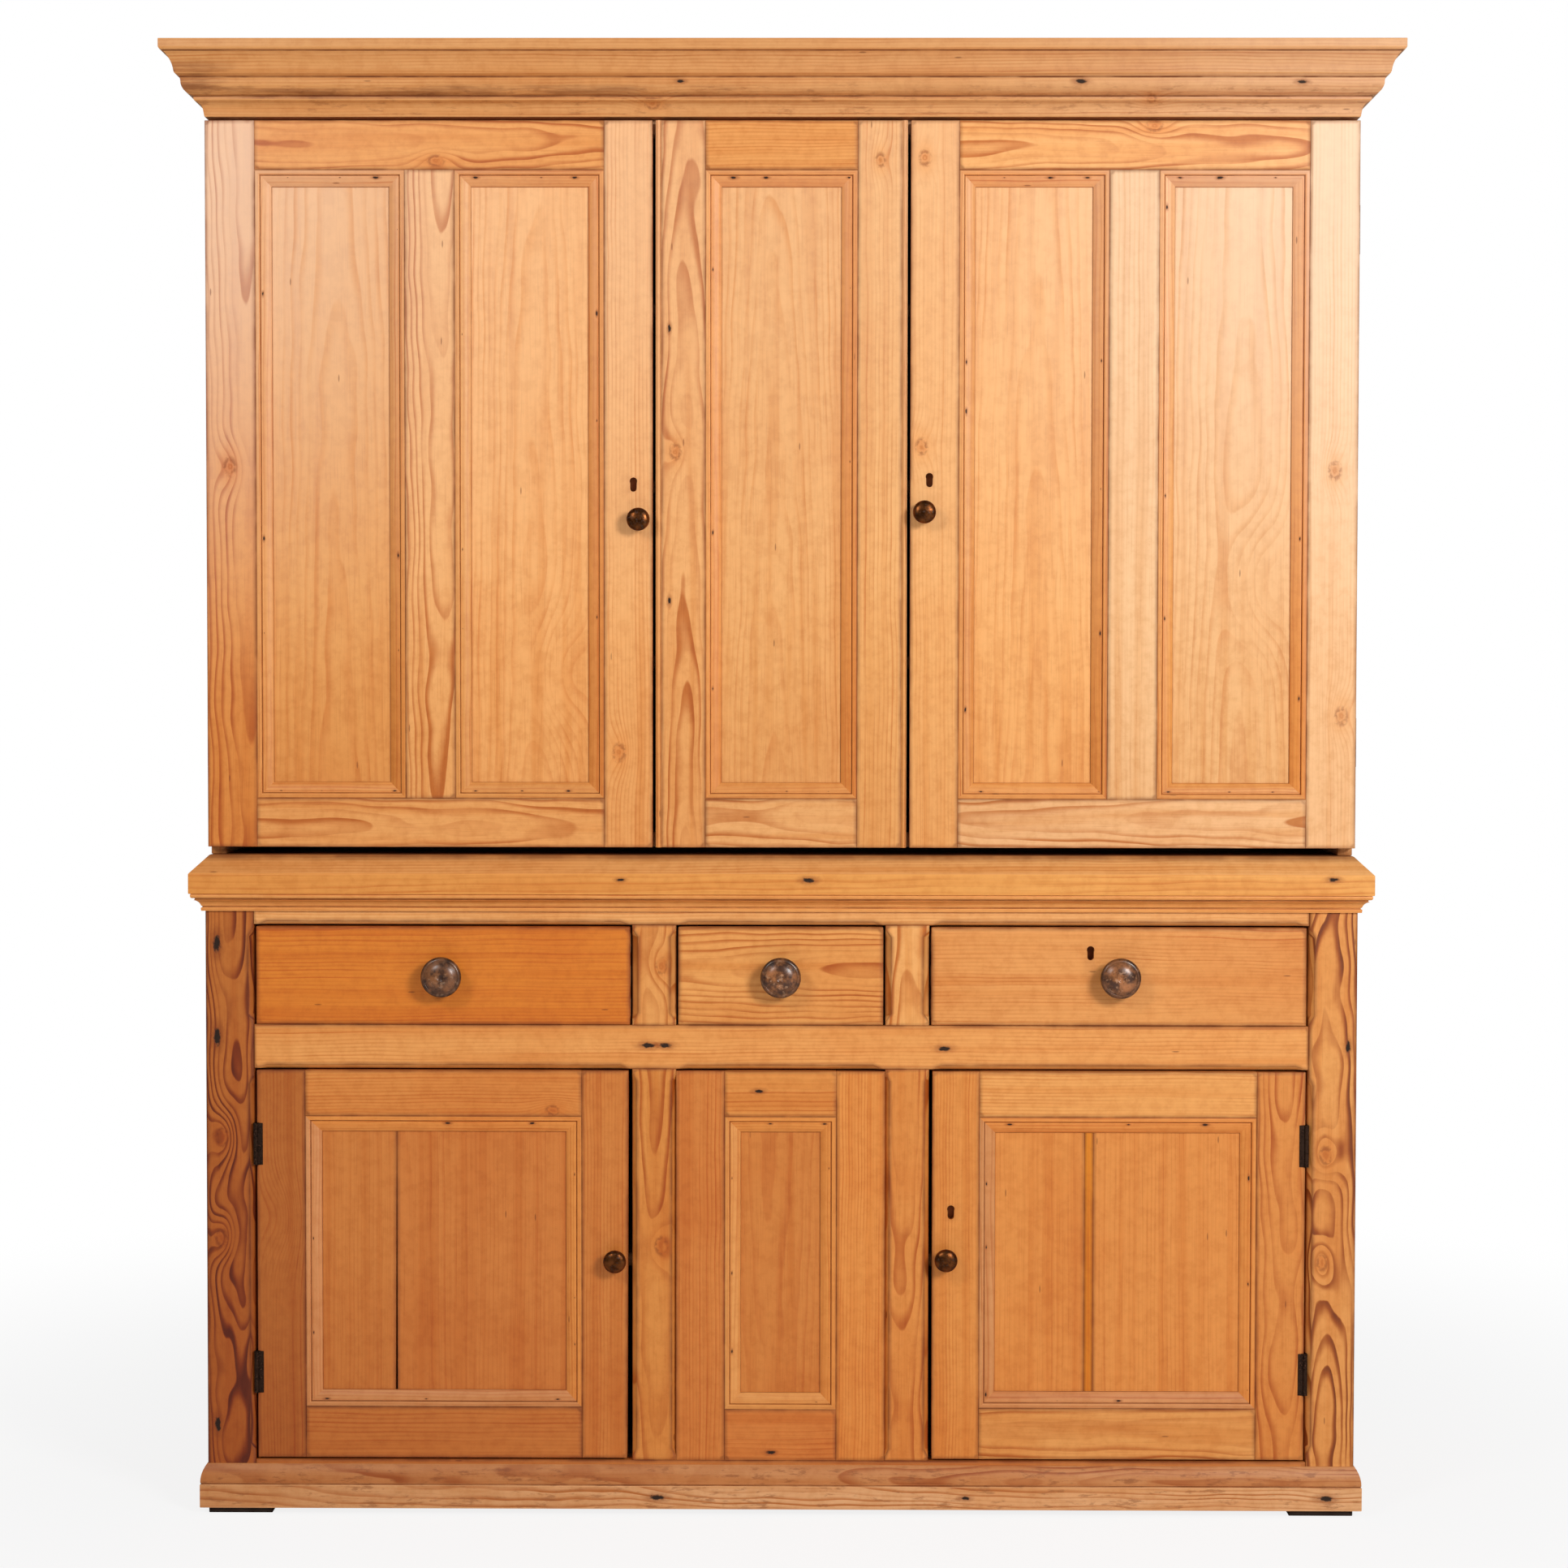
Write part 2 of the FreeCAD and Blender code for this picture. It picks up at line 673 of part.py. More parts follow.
# Lower doors, set in between post and divider
lower_door_z = (z_cupboard_floor + S.door_clearance, z_mid_rail_bottom - S.door_clearance)
lower_rails = (S.lower_top_rail_width, S.lower_bottom_rail_width)
post_cuts = {}
for side, hand in ((LEFT, "left"), (RIGHT, "right")):
    name = f"lower_{hand}_door"
    heights = (lower_door_z[1] - S.lower_hinge_head_inset, lower_door_z[0] + S.lower_hinge_foot_inset)
    hinges = [
        hinge(f"{name}_hinge_{index}", side, "inset", post_inner - S.door_clearance / 2,
              -S.lower_hinge_stand, S.door_clearance, height, S.lower_hinge_height)
        for index, height in enumerate(heights)
    ]
    knob_rise = getattr(S, f"lower_{hand}_knob_height")
    latch_cuts = turn_latch(f"lower_{hand}_knob", side, lower_door_lock_edge, lower_door_z[0] + knob_rise)
    lock = None
    if side == RIGHT:
        key_z = lower_door_z[0] + S.lower_right_keyhole_height
        lock = door_lock("lower_right_lock", side, lower_door_lock_edge, key_z)
    post_cuts[hand] = door(
        name, side, (lower_door_lock_edge, lower_door_hinge_edge), lower_door_z, S.lower_stile_width,
        lower_rails, 1, hinges, latch_cuts, lock)

node("hinge_case_leaves", group("hinge_leaf_set", CASE_LEAVES))
node("hinge_pins", group("hinge_pin_set", HINGE_PINS))

# Fixed framed panels in the middle of both stages
bead = S.centre_bead_width
upper_frame, upper_filling = framed_panels(
    "upper_centre", (bead - upper_centre_half, upper_centre_half - bead), upper_door_z,
    S.stile_width - bead, upper_rails, 1)
for side, hand in ((LEFT, "left"), (RIGHT, "right")):
    upper_frame.append(box(
        f"upper_centre_{hand}_bead", mirrored(side, upper_centre_half - bead, upper_centre_half),
        (-S.centre_bead_proud, S.door_thickness), upper_door_z))
node("upper_centre_frame", group("upper_centre_members", upper_frame))
node("upper_centre_panel", group("upper_centre_filling", upper_filling))
lower_frame, lower_filling = framed_panels(
    "lower_centre", (-centre_half, centre_half), (z_cupboard_floor, lower_door_z[1]),
    S.lower_stile_width, lower_rails, 1)
node("lower_centre_frame", group("lower_centre_members", lower_frame))
node("lower_centre_panel", group("lower_centre_filling", lower_filling))

# Case of the upper stage
housed = (-upper_inside - S.housing_depth, upper_inside + S.housing_depth)
upper_boards_d = (upper_case_front, back_inside)
upper_top = box("upper_top", housed, upper_boards_d, (z_cornice - S.board_thickness, z_cornice))
upper_bottom = box("upper_bottom", housed, upper_boards_d, (z_upper_floor, z_upper_floor + S.board_thickness))
node("upper_top_board", upper_top)
node("upper_bottom_board", upper_bottom)
for side, hand in ((LEFT, "left"), (RIGHT, "right")):
    board = box(f"upper_{hand}_board", mirrored(side, upper_inside, upper_half),
                (upper_case_front, S.case_depth), (z_waist_top, z_cornice))
    tools = [upper_top, upper_bottom] + upper_side_cuts[hand]
    node(f"upper_{hand}_side", cut(f"upper_{hand}_side_board", board, tools))


def back_boards(name, half_width, z):
    """Upright boards side by side across the back."""
    width = half_width * 2 / BACK_BOARDS
    return group(f"{name}_set", [
        box(f"{name}_{index}", (width * index - half_width, width * (index + 1) - half_width),
            (back_inside, S.case_depth), z)
        for index in range(BACK_BOARDS)
    ])


def shelf_with_bearers(name, z, half_width, shelf_front):
    """A full-width shelf on a bearer at each end."""
    shelf = box(name, (-half_width, half_width), (shelf_front, back_inside), (z, z + S.shelf_thickness))
    bearers = [
        box(f"{name}_bearer_{hand}", mirrored(side, half_width - S.bearer_thickness, half_width),
            (shelf_front, back_inside), (z - S.bearer_height, z))
        for side, hand in ((LEFT, "left"), (RIGHT, "right"))
    ]
    return shelf, bearers


upper_room = (z_upper_floor + S.board_thickness, z_cornice - S.board_thickness)
node("upper_back_boards", back_boards("upper_back", upper_inside, (z_upper_floor, z_cornice)))
upright_inner = upper_centre_half - S.stile_width
node("upper_uprights", group("upper_upright_pair", [
    box(f"upper_{hand}_upright", mirrored(side, upright_inner, upright_inner + S.upright_width),
        (S.door_thickness, upright_back), upper_room)
    for side, hand in ((LEFT, "left"), (RIGHT, "right"))
]))
upper_shelves = []
shelf_bearers = []
pitch = (upper_room[1] - upper_room[0] + S.shelf_thickness) / (SHELVES + 1)
for index in range(SHELVES):
    z_shelf = upper_room[0] + pitch * (index + 1) - S.shelf_thickness
    shelf, bearers = shelf_with_bearers(f"upper_shelf_{index}", z_shelf, upper_inside, upright_back)
    upper_shelves.append(shelf)
    shelf_bearers += bearers
node("upper_shelves", group("upper_shelf_set", upper_shelves))

# Cornice, a mitred box that stands on the upper case
cornice_reach = S.cornice_seat + S.cornice_projection
cornice_inner = upper_half - S.cornice_seat

# Members of the cornice from its foot up, as shares of its projection and of its height, and
# for an arc the share of its height that is the radius
CORNICE_MEMBERS = (
    (0.03, 0.10, -0.12),
    (0.20, 0.20),
    (0.24, 0.22),
    (0.24, 0.27, 0.18),
    (0.52, 0.46),
    (0.54, 0.51),
    (0.65, 0.55),
    (0.67, 0.58, -0.42),
    (0.90, 0.84),
    (0.97, 0.85),
    (1.00, 0.88),
)
CORNICE_OUTLINE = profile("cornice_outline", [
    (0, 0),
    (S.cornice_seat, 0),
    *((S.cornice_seat + S.cornice_projection * out, *(S.cornice_height * share for share in up_and_bend))
      for out, *up_and_bend in CORNICE_MEMBERS),
    (cornice_reach, S.cornice_height),
    (0, S.cornice_height),
])
cornice = moulded_run("cornice", CORNICE_OUTLINE, cornice_inner, S.cornice_seat, z_cornice,
                      cornice_reach, S.cornice_height)
node("cornice_front", cornice[0])
node("cornice_returns", group("cornice_return_pair", list(cornice[1:])))
node("cornice_back_rail", box(
    "cornice_back", (-cornice_inner, cornice_inner), (back_inside - S.board_thickness, back_inside),
    (z_cornice, z_cornice + S.cornice_back_rail_height)))

# Waist board, chamfered along the front and both ends
waist_half = lower_half + S.waist_overhang
chamfer_low = z_waist_top - S.waist_chamfer_height
slab = box("waist_slab", (-waist_half, waist_half), (-S.waist_overhang, S.case_depth),
           (z_waist_bottom, chamfer_low))
slope = doc.addObject("Part::Wedge", "waist_slope")
waist_depth = S.case_depth + S.waist_overhang
bind(slope, Xmin=0, Xmax=waist_half * 2, Zmin=0, Zmax=waist_depth, Ymin=0, Ymax=S.waist_chamfer_height)
bind(slope, X2min=S.waist_chamfer_depth, X2max=waist_half * 2 - S.waist_chamfer_depth)
bind(slope, Z2min=0, Z2max=waist_depth - S.waist_chamfer_depth)
place(slope, -waist_half, S.case_depth, chamfer_low, axes(AXIS_X, AXIS_Z, -AXIS_Y))
node("waist_board", fuse("waist_whole", [slab, slope]))

BED_OUTLINE = profile("bed_outline", [
    (0, 0),
    (S.bed_foot_reach, 0),
    (S.bed_foot_reach, S.bed_foot_height, -S.bed_cove_radius),
    (S.bed_reach - S.bed_bead_overhang, S.bed_height - S.bed_bead_height),
    (S.bed_reach, S.bed_height - S.bed_bead_height),
    (S.bed_reach, S.bed_height),
    (0, S.bed_height),
])
node("bed_mouldings", group("bed_set", list(moulded_run(
    "bed", BED_OUTLINE, lower_half, as_expr(0), z_bed_bottom, S.bed_reach, S.bed_height))))

# Front frame of the lower stage
frame_d = (as_expr(0), S.frame_thickness)
tenon_d = (S.frame_thickness / 3, S.frame_thickness * 2 / 3)
divider_spans = [mirrored(side, centre_half, divider_outer) for side in (LEFT, RIGHT)]
dividers = []
divider_tongues = []
for level, (low, high) in enumerate(
        ((z_cupboard_floor, z_mid_rail_bottom), (z_mid_rail_top, z_top_rail_bottom))):
    for index, span in enumerate(divider_spans):
        stem = f"divider_{level}_{index}"
        post = box(f"{stem}_post", span, frame_d, (low, high))
        tongue = box(f"{stem}_tongue", (span[0] + S.tenon_shoulder, span[1] - S.tenon_shoulder), tenon_d,
                     (low - S.frame_tenon / 2, high + S.frame_tenon / 2))
        divider_tongues.append(tongue)
        dividers.append(fuse(stem, [post, tongue]))
node("front_dividers", group("divider_set", dividers))

rails = []
rail_tenons = []
for label, low, high in (
        ("bottom_rail", S.foot_height, z_cupboard_floor),
        ("mid_rail", z_mid_rail_bottom, z_mid_rail_top),
        ("top_rail", z_top_rail_bottom, z_waist_bottom)):
    bar = box(f"{label}_bar", (-post_inner, post_inner), frame_d, (low, high))
    tenon = box(f"{label}_tenon", (-post_inner - S.frame_tenon, post_inner + S.frame_tenon), tenon_d,
                (low + S.tenon_shoulder, high - S.tenon_shoulder))
    rail_tenons.append(tenon)
    rails.append(cut(label, fuse(f"{label}_whole", [bar, tenon]), divider_tongues))
node("front_rails", group("rail_set", rails))

posts = {}
corner_posts = []
for side, hand in ((LEFT, "left"), (RIGHT, "right")):
    blank = box(f"{hand}_post_blank", mirrored(side, post_inner, lower_half), (as_expr(0), S.post_depth),
                (S.foot_height, z_waist_bottom))
    posts[hand] = blank
    corner_posts.append(cut(f"{hand}_post", blank, rail_tenons + post_cuts[hand]))
    node(f"lower_{hand}_side", box(
        f"lower_{hand}_board", mirrored(side, lower_inside, lower_half), (S.post_depth, S.case_depth),
        (S.foot_height, z_waist_bottom)))
node("corner_posts", group("corner_post_pair", corner_posts))

# Inside of the lower stage
floor_board = box("lower_floor", (-lower_inside, lower_inside), (S.frame_thickness, back_inside),
                  (z_cupboard_floor - S.board_thickness, z_cupboard_floor))
node("lower_bottom_board", cut("lower_floor_cut", floor_board, [posts["left"], posts["right"]]))
node("lower_back_boards", back_boards("lower_back", lower_inside, (S.foot_height, z_waist_bottom)))
lower_shelf_front = S.post_depth
z_lower_shelf = z_cupboard_floor + (S.cupboard_opening_height - S.shelf_thickness) / 2
lower_shelf, lower_bearers = shelf_with_bearers("lower_shelf_plank", z_lower_shelf, lower_inside, lower_shelf_front)
node("lower_shelf", lower_shelf)
shelf_bearers += lower_bearers
node("shelf_bearers", group("bearer_set", shelf_bearers))

# Runners and guides that carry the drawers
runner_z = (z_mid_rail_top - S.runner_thickness, z_mid_rail_top)
guide_z = (z_mid_rail_top, z_mid_rail_top + S.guide_height)
runner_d = (S.frame_thickness, back_inside)
runners = []
for side, hand in ((LEFT, "left"), (RIGHT, "right")):
    outer = box(f"{hand}_outer_runner", mirrored(side, post_inner - S.runner_lap, lower_inside), runner_d, runner_z)
    runners.append(cut(f"{hand}_outer_runner_cut", outer, [posts[hand]]))
    runners.append(box(
        f"{hand}_inner_runner", mirrored(side, centre_half - S.runner_lap, divider_outer + S.runner_lap),
        runner_d, runner_z))
    runners.append(box(
        f"{hand}_outer_guide", mirrored(side, post_inner, lower_inside), (S.post_depth, back_inside), guide_z))
    runners.append(box(f"{hand}_inner_guide", mirrored(side, centre_half, divider_outer), runner_d, guide_z))
node("drawer_runners", group("runner_set", runners))

# Plinth and feet
PLINTH_OUTLINE = profile("plinth_outline", [
    (0, 0),
    (S.plinth_reach, 0),
    (S.plinth_reach, S.plinth_flat_height),
    (S.plinth_reach - S.plinth_quirk, S.plinth_flat_height,
     cap_radius(S.plinth_height - S.plinth_flat_height, S.plinth_reach - S.plinth_quirk - S.plinth_nosing)),
    (S.plinth_nosing, S.plinth_height),
    (0, S.plinth_height),
])
node("plinth_boards", group("plinth_set", list(moulded_run(
    "plinth", PLINTH_OUTLINE, lower_half, as_expr(0), S.foot_height, S.plinth_reach, S.plinth_height))))
foot_x = (lower_half - S.foot_inset - S.foot_length, lower_half - S.foot_inset)
foot_depths = (
    (S.foot_inset, S.foot_inset + S.foot_width),
    (S.case_depth - S.foot_inset - S.foot_width, S.case_depth - S.foot_inset),
)
node("feet", group("foot_set", [
    box(f"foot_{hand}_{index}", mirrored(side, *foot_x), span, (as_expr(0), S.foot_height))
    for side, hand in ((LEFT, "left"), (RIGHT, "right"))
    for index, span in enumerate(foot_depths)
]))


def drawer(name, opening, has_lock):
    """A dovetailed drawer: front, two sides, back and bottom, with a turned knob."""
    x = (opening[0] + S.drawer_side_clearance, opening[1] - S.drawer_side_clearance)
    z = (z_mid_rail_top + S.drawer_slide_clearance, z_top_rail_bottom - S.drawer_top_clearance)
    height = z[1] - z[0]
    front_d = (as_expr(0), S.drawer_front_thickness)
    box_d = (S.drawer_front_thickness, drawer_back)
    side = S.drawer_side_thickness
    groove = S.drawer_bottom_groove
    bottom = box(f"{name}_bottom", (x[0] + side - groove, x[1] - side + groove),
                 (S.drawer_front_thickness - groove, drawer_back),
                 (z[0] + S.drawer_bottom_rise, z[0] + S.drawer_bottom_rise + S.drawer_bottom_thickness))
    sides = []
    for hand, span in (("left", (x[0], x[0] + side)), ("right", (x[1] - side, x[1]))):
        tails = []
        for index in range(TAILS):
            z_tail = z[0] + height * (2 * index + 1) / (2 * TAILS)
            tail = doc.addObject("Part::Wedge", f"{name}_{hand}_tail_{index}")
            neck = S.dovetail_neck / 2
            wide = neck + S.dovetail_flare
            bind(tail, Xmin=0, Xmax=side, X2min=0, X2max=side, Ymin=0, Ymax=S.dovetail_length)
            bind(tail, Zmin=-neck, Zmax=neck, Z2min=-wide, Z2max=wide)
            tails.append(place(tail, span[0], S.drawer_front_thickness, z_tail,
                               axes(AXIS_X, -AXIS_Y, -AXIS_Z)))
        plank = box(f"{name}_{hand}_plank", span, box_d, z)
        sides.append(cut(f"{name}_{hand}_side", fuse(f"{name}_{hand}_whole", [plank] + tails), [bottom]))
    back = box(f"{name}_back", (x[0] + side, x[1] - side), (drawer_back - side, drawer_back),
               (z[0] + S.drawer_bottom_rise + S.drawer_bottom_thickness, z[1]))
    middle_x = (x[0] + x[1]) / 2
    middle_z = (z[0] + z[1]) / 2
    dowel = rod(f"{name}_dowel_hole", S.drawer_knob_dowel_radius, S.drawer_front_thickness,
                middle_x, S.drawer_front_thickness, middle_z, ROD_FORWARD)
    tools = sides + [bottom, dowel]
    if has_lock:
        key_x = middle_x - S.drawer_keyhole_offset
        key_z = z[1] - S.drawer_keyhole_drop
        tools += keyhole(f"{name}_keyhole", key_x, key_z, S.drawer_front_thickness)
        case_z = (z[1] - S.lock_edge_inset - S.lock_height, z[1] - S.lock_edge_inset)
        half = S.lock_width / 2
        bolt_half = S.bolt_width / 2
        case = lock_and_bolt(
            f"{name}_lock", (key_x - half, key_x + half), case_z, S.drawer_front_thickness,
            (key_x - bolt_half, key_x + bolt_half), (case_z[1] - S.bolt_length, case_z[1]))
        node(f"{name}_lock_case", case)
    node(f"{name}_front", cut(f"{name}_front_cut", box(f"{name}_front_blank", x, front_d, z), tools))
    node(f"{name}_box", group(f"{name}_boards", sides + [back, bottom]))
    node(f"{name}_knob", turned(f"{name}_knob_turning", DRAWER_KNOB_OUTLINE, middle_x, 0, middle_z))


drawer("left_drawer", mirrored(LEFT, divider_outer, post_inner), False)
drawer("middle_drawer", (-centre_half, centre_half), False)
drawer("right_drawer", mirrored(RIGHT, divider_outer, post_inner), True)

doc.recompute()

for thing in doc.Objects:
    if "Invalid" in thing.State or "Error" in thing.State:
        raise RuntimeError(f"{thing.Name} did not build: {thing.State}")
for thing in NODES:
    if thing.Shape.isNull() or not thing.Shape.isValid() or not thing.Shape.Solids:
        raise RuntimeError(f"{thing.Label} has no valid solid")

os.makedirs("parts", exist_ok=True)
for thing in NODES:
    thing.Shape.exportStep(f"parts/{thing.Label}.step")
print(f"{len(NODES)} nodes, {sum(len(thing.Shape.Solids) for thing in NODES)} solids")
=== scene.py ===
"""Looks of a two-stage pine linen press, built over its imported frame.

The sub-assemblies count in millimetres: x to the right of the middle line, d back from the plane
of the door fronts, z up from the floor. A shell is turned into metres of the frame when it is
put into a mesh.
"""

import json
import logging
import math
from dataclasses import dataclass, field, replace
from enum import Enum

import bpy
import numpy as np
from mathutils import Matrix, Vector


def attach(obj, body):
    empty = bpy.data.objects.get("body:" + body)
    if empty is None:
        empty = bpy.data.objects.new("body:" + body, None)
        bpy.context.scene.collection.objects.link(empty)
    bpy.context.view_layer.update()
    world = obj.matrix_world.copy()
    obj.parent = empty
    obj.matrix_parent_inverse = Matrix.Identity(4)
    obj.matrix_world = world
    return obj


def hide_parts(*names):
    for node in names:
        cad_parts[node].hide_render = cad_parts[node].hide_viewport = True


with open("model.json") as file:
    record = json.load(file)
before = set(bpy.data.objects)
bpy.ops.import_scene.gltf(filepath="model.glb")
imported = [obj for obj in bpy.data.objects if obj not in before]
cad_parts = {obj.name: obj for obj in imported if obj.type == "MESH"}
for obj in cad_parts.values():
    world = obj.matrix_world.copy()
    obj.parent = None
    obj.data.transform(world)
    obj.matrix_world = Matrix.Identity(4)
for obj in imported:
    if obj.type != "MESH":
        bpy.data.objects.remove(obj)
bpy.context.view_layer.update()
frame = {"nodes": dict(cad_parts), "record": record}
log = logging.getLogger("linen_press")

MM = 0.001
FRONT_PLANE = -242.0
BOARD = 22.0
BACK_FACE = 528.0
CASE_DEPTH = 540.0
HANDS = {-1: "left", 1: "right"}
LOWER_DOOR_X = (223, 778)
LOWER_DOORS = (84.0, 663.0)
LOWER_HINGES = (212.0, 553.0)
LOWER_HINGE_REACH = 32.0
FAR_MARK = (99.0, 99.0, 0.004)
WHITE = (1, 1, 1, 1)
UP = (0, 0, 1)
FORWARD = (0, -1, 0)
Point = tuple[float, float, float]
Colour = tuple[float, float, float]
Span = tuple[float, float]


class Axis(Enum):
    """Directions of a board: across the press, back from its front, and up."""

    X = 0
    D = 1
    Z = 2


class Edge(Enum):
    """Long edges of a board: low or high side of its width, front or back face."""

    LOW_FRONT = 0
    HIGH_FRONT = 1
    HIGH_BACK = 2
    LOW_BACK = 3


class Tone(Enum):
    """Colours of the pine as sRGB values."""

    CREAM = (243, 190, 134)
    STRAW = (240, 181, 117)
    HONEY = (236, 170, 101)
    GOLD = (229, 157, 84)
    AMBER = (222, 142, 66)
    ORANGE = (218, 127, 38)
    TOFFEE = (208, 126, 56)
    RUSSET = (188, 107, 42)
    ROSY = (222, 167, 117)
    BISCUIT = (214, 146, 90)
    WHEAT = (211, 149, 88)
    RESIN = (222, 134, 24)
    SAWN = (196, 146, 98)
    DUSTY = (172, 128, 88)
    # Near black: painted shadow for the feet under the plinth.
    UNDER_SHADOW = (46, 30, 20)

    @property
    def linear(self) -> np.ndarray:
        """The tone as linear light."""
        value = np.array(self.value) / 255.0
        return np.where(value <= 0.04045, value / 12.92, ((value + 0.055) / 1.055) ** 2.4)


@dataclass(frozen=True)
class Growth:
    """How the year rings run through a board.

    Lengths are millimetres. The rings wander slowly by the warp and swell into eyes by the wave.
    The pith lies that far off the middle of the board, across its width and behind its face, and
    tilts by a share of the length.
    """

    contrast: float
    spacing: float
    warp: float
    wave: float
    pith_across: float
    pith_depth: float
    tilt: float


class Figure(Enum):
    """Kinds of figure that the sawn pine shows."""

    QUIET = Growth(0.46, 5.5, 14.0, 4.0, 150.0, 70.0, 0.004)
    STRAIGHT = Growth(0.88, 5.2, 14.0, 6.0, 120.0, 35.0, 0.008)
    CATHEDRAL = Growth(0.50, 7.5, 18.0, 9.0, 12.0, 46.0, 0.030)
    FLAME = Growth(1.32, 6.8, 12.0, 16.0, 5.0, 24.0, 0.034)
    WILD = Growth(2.40, 4.8, 12.0, 19.0, 8.0, 26.0, 0.028)


@dataclass(frozen=True)
class Spot:
    """A knot or a hole in the front of a board, at x and z, or a swirl of the rings with no core."""

    x: float
    z: float
    radius: float
    swirl: bool = False


@dataclass(frozen=True)
class Chamfer:
    """A flat cut along one edge of a board, which runs out over the stop length at either end."""

    edge: Edge
    size: float
    span: Span
    stop: float = 14.0

    @property
    def places(self) -> list[float]:
        """Where the cut starts, is full, is full no more and ends."""
        first, last = self.span
        return [first, first + self.stop, last - self.stop, last]


@dataclass
class Shell:
    """A closed surface: points, faces as runs of point numbers, and values carried by points."""

    points: np.ndarray
    sizes: np.ndarray
    corners: np.ndarray
    values: dict[str, np.ndarray] = field(default_factory=dict)

    def outward(self) -> "Shell":
        """Turn every face round where the shell's signed volume is negative.

        Each face is a fan of triangles on its first corner, and the volume is a sixth of the sum
        of their triple products.

        Returns:
            The shell with its faces pointing outwards.
        """
        first = np.cumsum(self.sizes) - self.sizes
        owner = np.repeat(np.arange(len(self.sizes)), self.sizes)
        place = np.arange(len(self.corners)) - first[owner]
        inner = (place >= 1) & (place < self.sizes[owner] - 1)
        index = np.flatnonzero(inner)
        origin = self.points[self.corners[first[owner[index]]]]
        one, two = self.points[self.corners[index]], self.points[self.corners[index + 1]]
        if np.einsum("ij,ij->i", origin, np.cross(one, two)).sum() < 0:
            order = first[owner] + self.sizes[owner] - 1 - place
            self.corners = self.corners[order]
        return self

    @staticmethod
    def joined(shells: list["Shell"]) -> "Shell":
        """Put several shells into one.

        Args:
            shells: The shells, which all carry the same values.

        Returns:
            One shell of them all.
        """
        counts = [len(shell.points) for shell in shells]
        shifts = np.cumsum([0] + counts[:-1])
        return Shell(
            np.concatenate([shell.points for shell in shells]),
            np.concatenate([shell.sizes for shell in shells]),
            np.concatenate([shell.corners + shift for shell, shift in zip(shells, shifts)]),
            {name: np.concatenate([shell.values[name] for shell in shells]) for name in shells[0].values},
        )


def tube(rings: np.ndarray) -> Shell:
    """Skin a stack of rings with four-cornered faces and close both ends with flat caps.

    Face (i, j) joins points j and j + 1 of rings i and i + 1.

    Args:
        rings: Points as an array of rings by points by three.

    Returns:
        The shell, its faces not yet turned outwards.
    """
    count, ring = rings.shape[:2]
    i, j = np.meshgrid(np.arange(count - 1), np.arange(ring), indexing="ij")
    k = (j + 1) % ring
    quads = np.stack([i * ring + j, i * ring + k, (i + 1) * ring + k, (i + 1) * ring + j], -1)
    near, far = np.arange(ring)[::-1], (count - 1) * ring + np.arange(ring)
    sizes = np.concatenate([np.full(quads.size // 4, 4), [ring, ring]])
    return Shell(rings.reshape(-1, 3), sizes, np.concatenate([quads.ravel(), near, far]))


@dataclass(frozen=True)
class Timber:
    """What a length of pine looks like, and the chance that sets it apart from its neighbours."""

    tone: Tone = Tone.HONEY
    figure: Figure = Figure.QUIET
    knots: tuple[Spot, ...] = ()
    holes: tuple[Spot, ...] = ()
    pith: float | None = None
    # Share of painted sheen that pales this wood where it is high and outward.
    sheen: float = 1.0

    def values(self, along: np.ndarray, across: np.ndarray, depth: np.ndarray, mark: np.ndarray,
               middle: Point, upright: bool, seed: int) -> dict[str, np.ndarray]:
        """Work out what each point of a length carries for its material.

        The grain is the point's place along the length, across it from the pith, and behind its
        face from the pith, which tilts evenly along the length.

        Args:
            along: Places along the length in millimetres.
            across: Places across its width.
            depth: Places through its thickness.
            mark: Worn edges above nought, and grime and painted shade in hollows and along edges below it.
            middle: The middle of the length in those three directions.
            upright: Whether the length runs up, which puts a spot's z along it.
            seed: Number for this length's chance.

        Returns:
            Values by name, one row for each point.
        """
        growth = self.figure.value
        chance = np.random.default_rng(seed)
        offset = chance.uniform(2.0, 40.0)
        hand = chance.choice((-1.0, 1.0))
        pith_across = middle[1] + hand * growth.pith_across * chance.uniform(0.7, 1.3)
        if self.pith is not None:
            pith_across = self.pith
        pith_depth = middle[2] + growth.pith_depth * chance.uniform(0.8, 1.3)
        tilt = growth.tilt * chance.choice((-1.0, 1.0)) * chance.uniform(0.7, 1.3)
        count = along.size
        grain = np.column_stack([
            along.ravel() * MM + offset,
            (across.ravel() - pith_across) * MM,
            (depth.ravel() - pith_depth - tilt * (along.ravel() - middle[0])) * MM,
        ])
        tone = self.tone.linear * chance.uniform(0.95, 1.05) * chance.uniform(0.985, 1.015, 3)
        values = {
            "grain": grain,
            "tone": np.tile(tone, (count, 1)),
            "figure": np.tile((growth.contrast, growth.spacing * MM * chance.uniform(0.85, 1.2),
                               growth.warp * MM), (count, 1)),
            # The habit carries the wave of the rings and the share of painted sheen.
            "habit": np.tile((growth.wave * MM, self.sheen, 0.0), (count, 1)),
            "mark": mark.ravel(),
        }
        for kind, spots, letters in (("knot", self.knots, "ab"), ("hole", self.holes, "abc")):
            for index, letter in enumerate(letters):
                row = FAR_MARK
                if index < len(spots):
                    spot = spots[index]
                    place, side = (spot.z, spot.x) if upright else (spot.x, spot.z)
                    radius = spot.radius * (-MM if spot.swirl else MM)
                    row = (place * MM + offset, (side - pith_across) * MM, radius)
                values[f"{kind}_{letter}"] = np.tile(row, (count, 1))
        return values


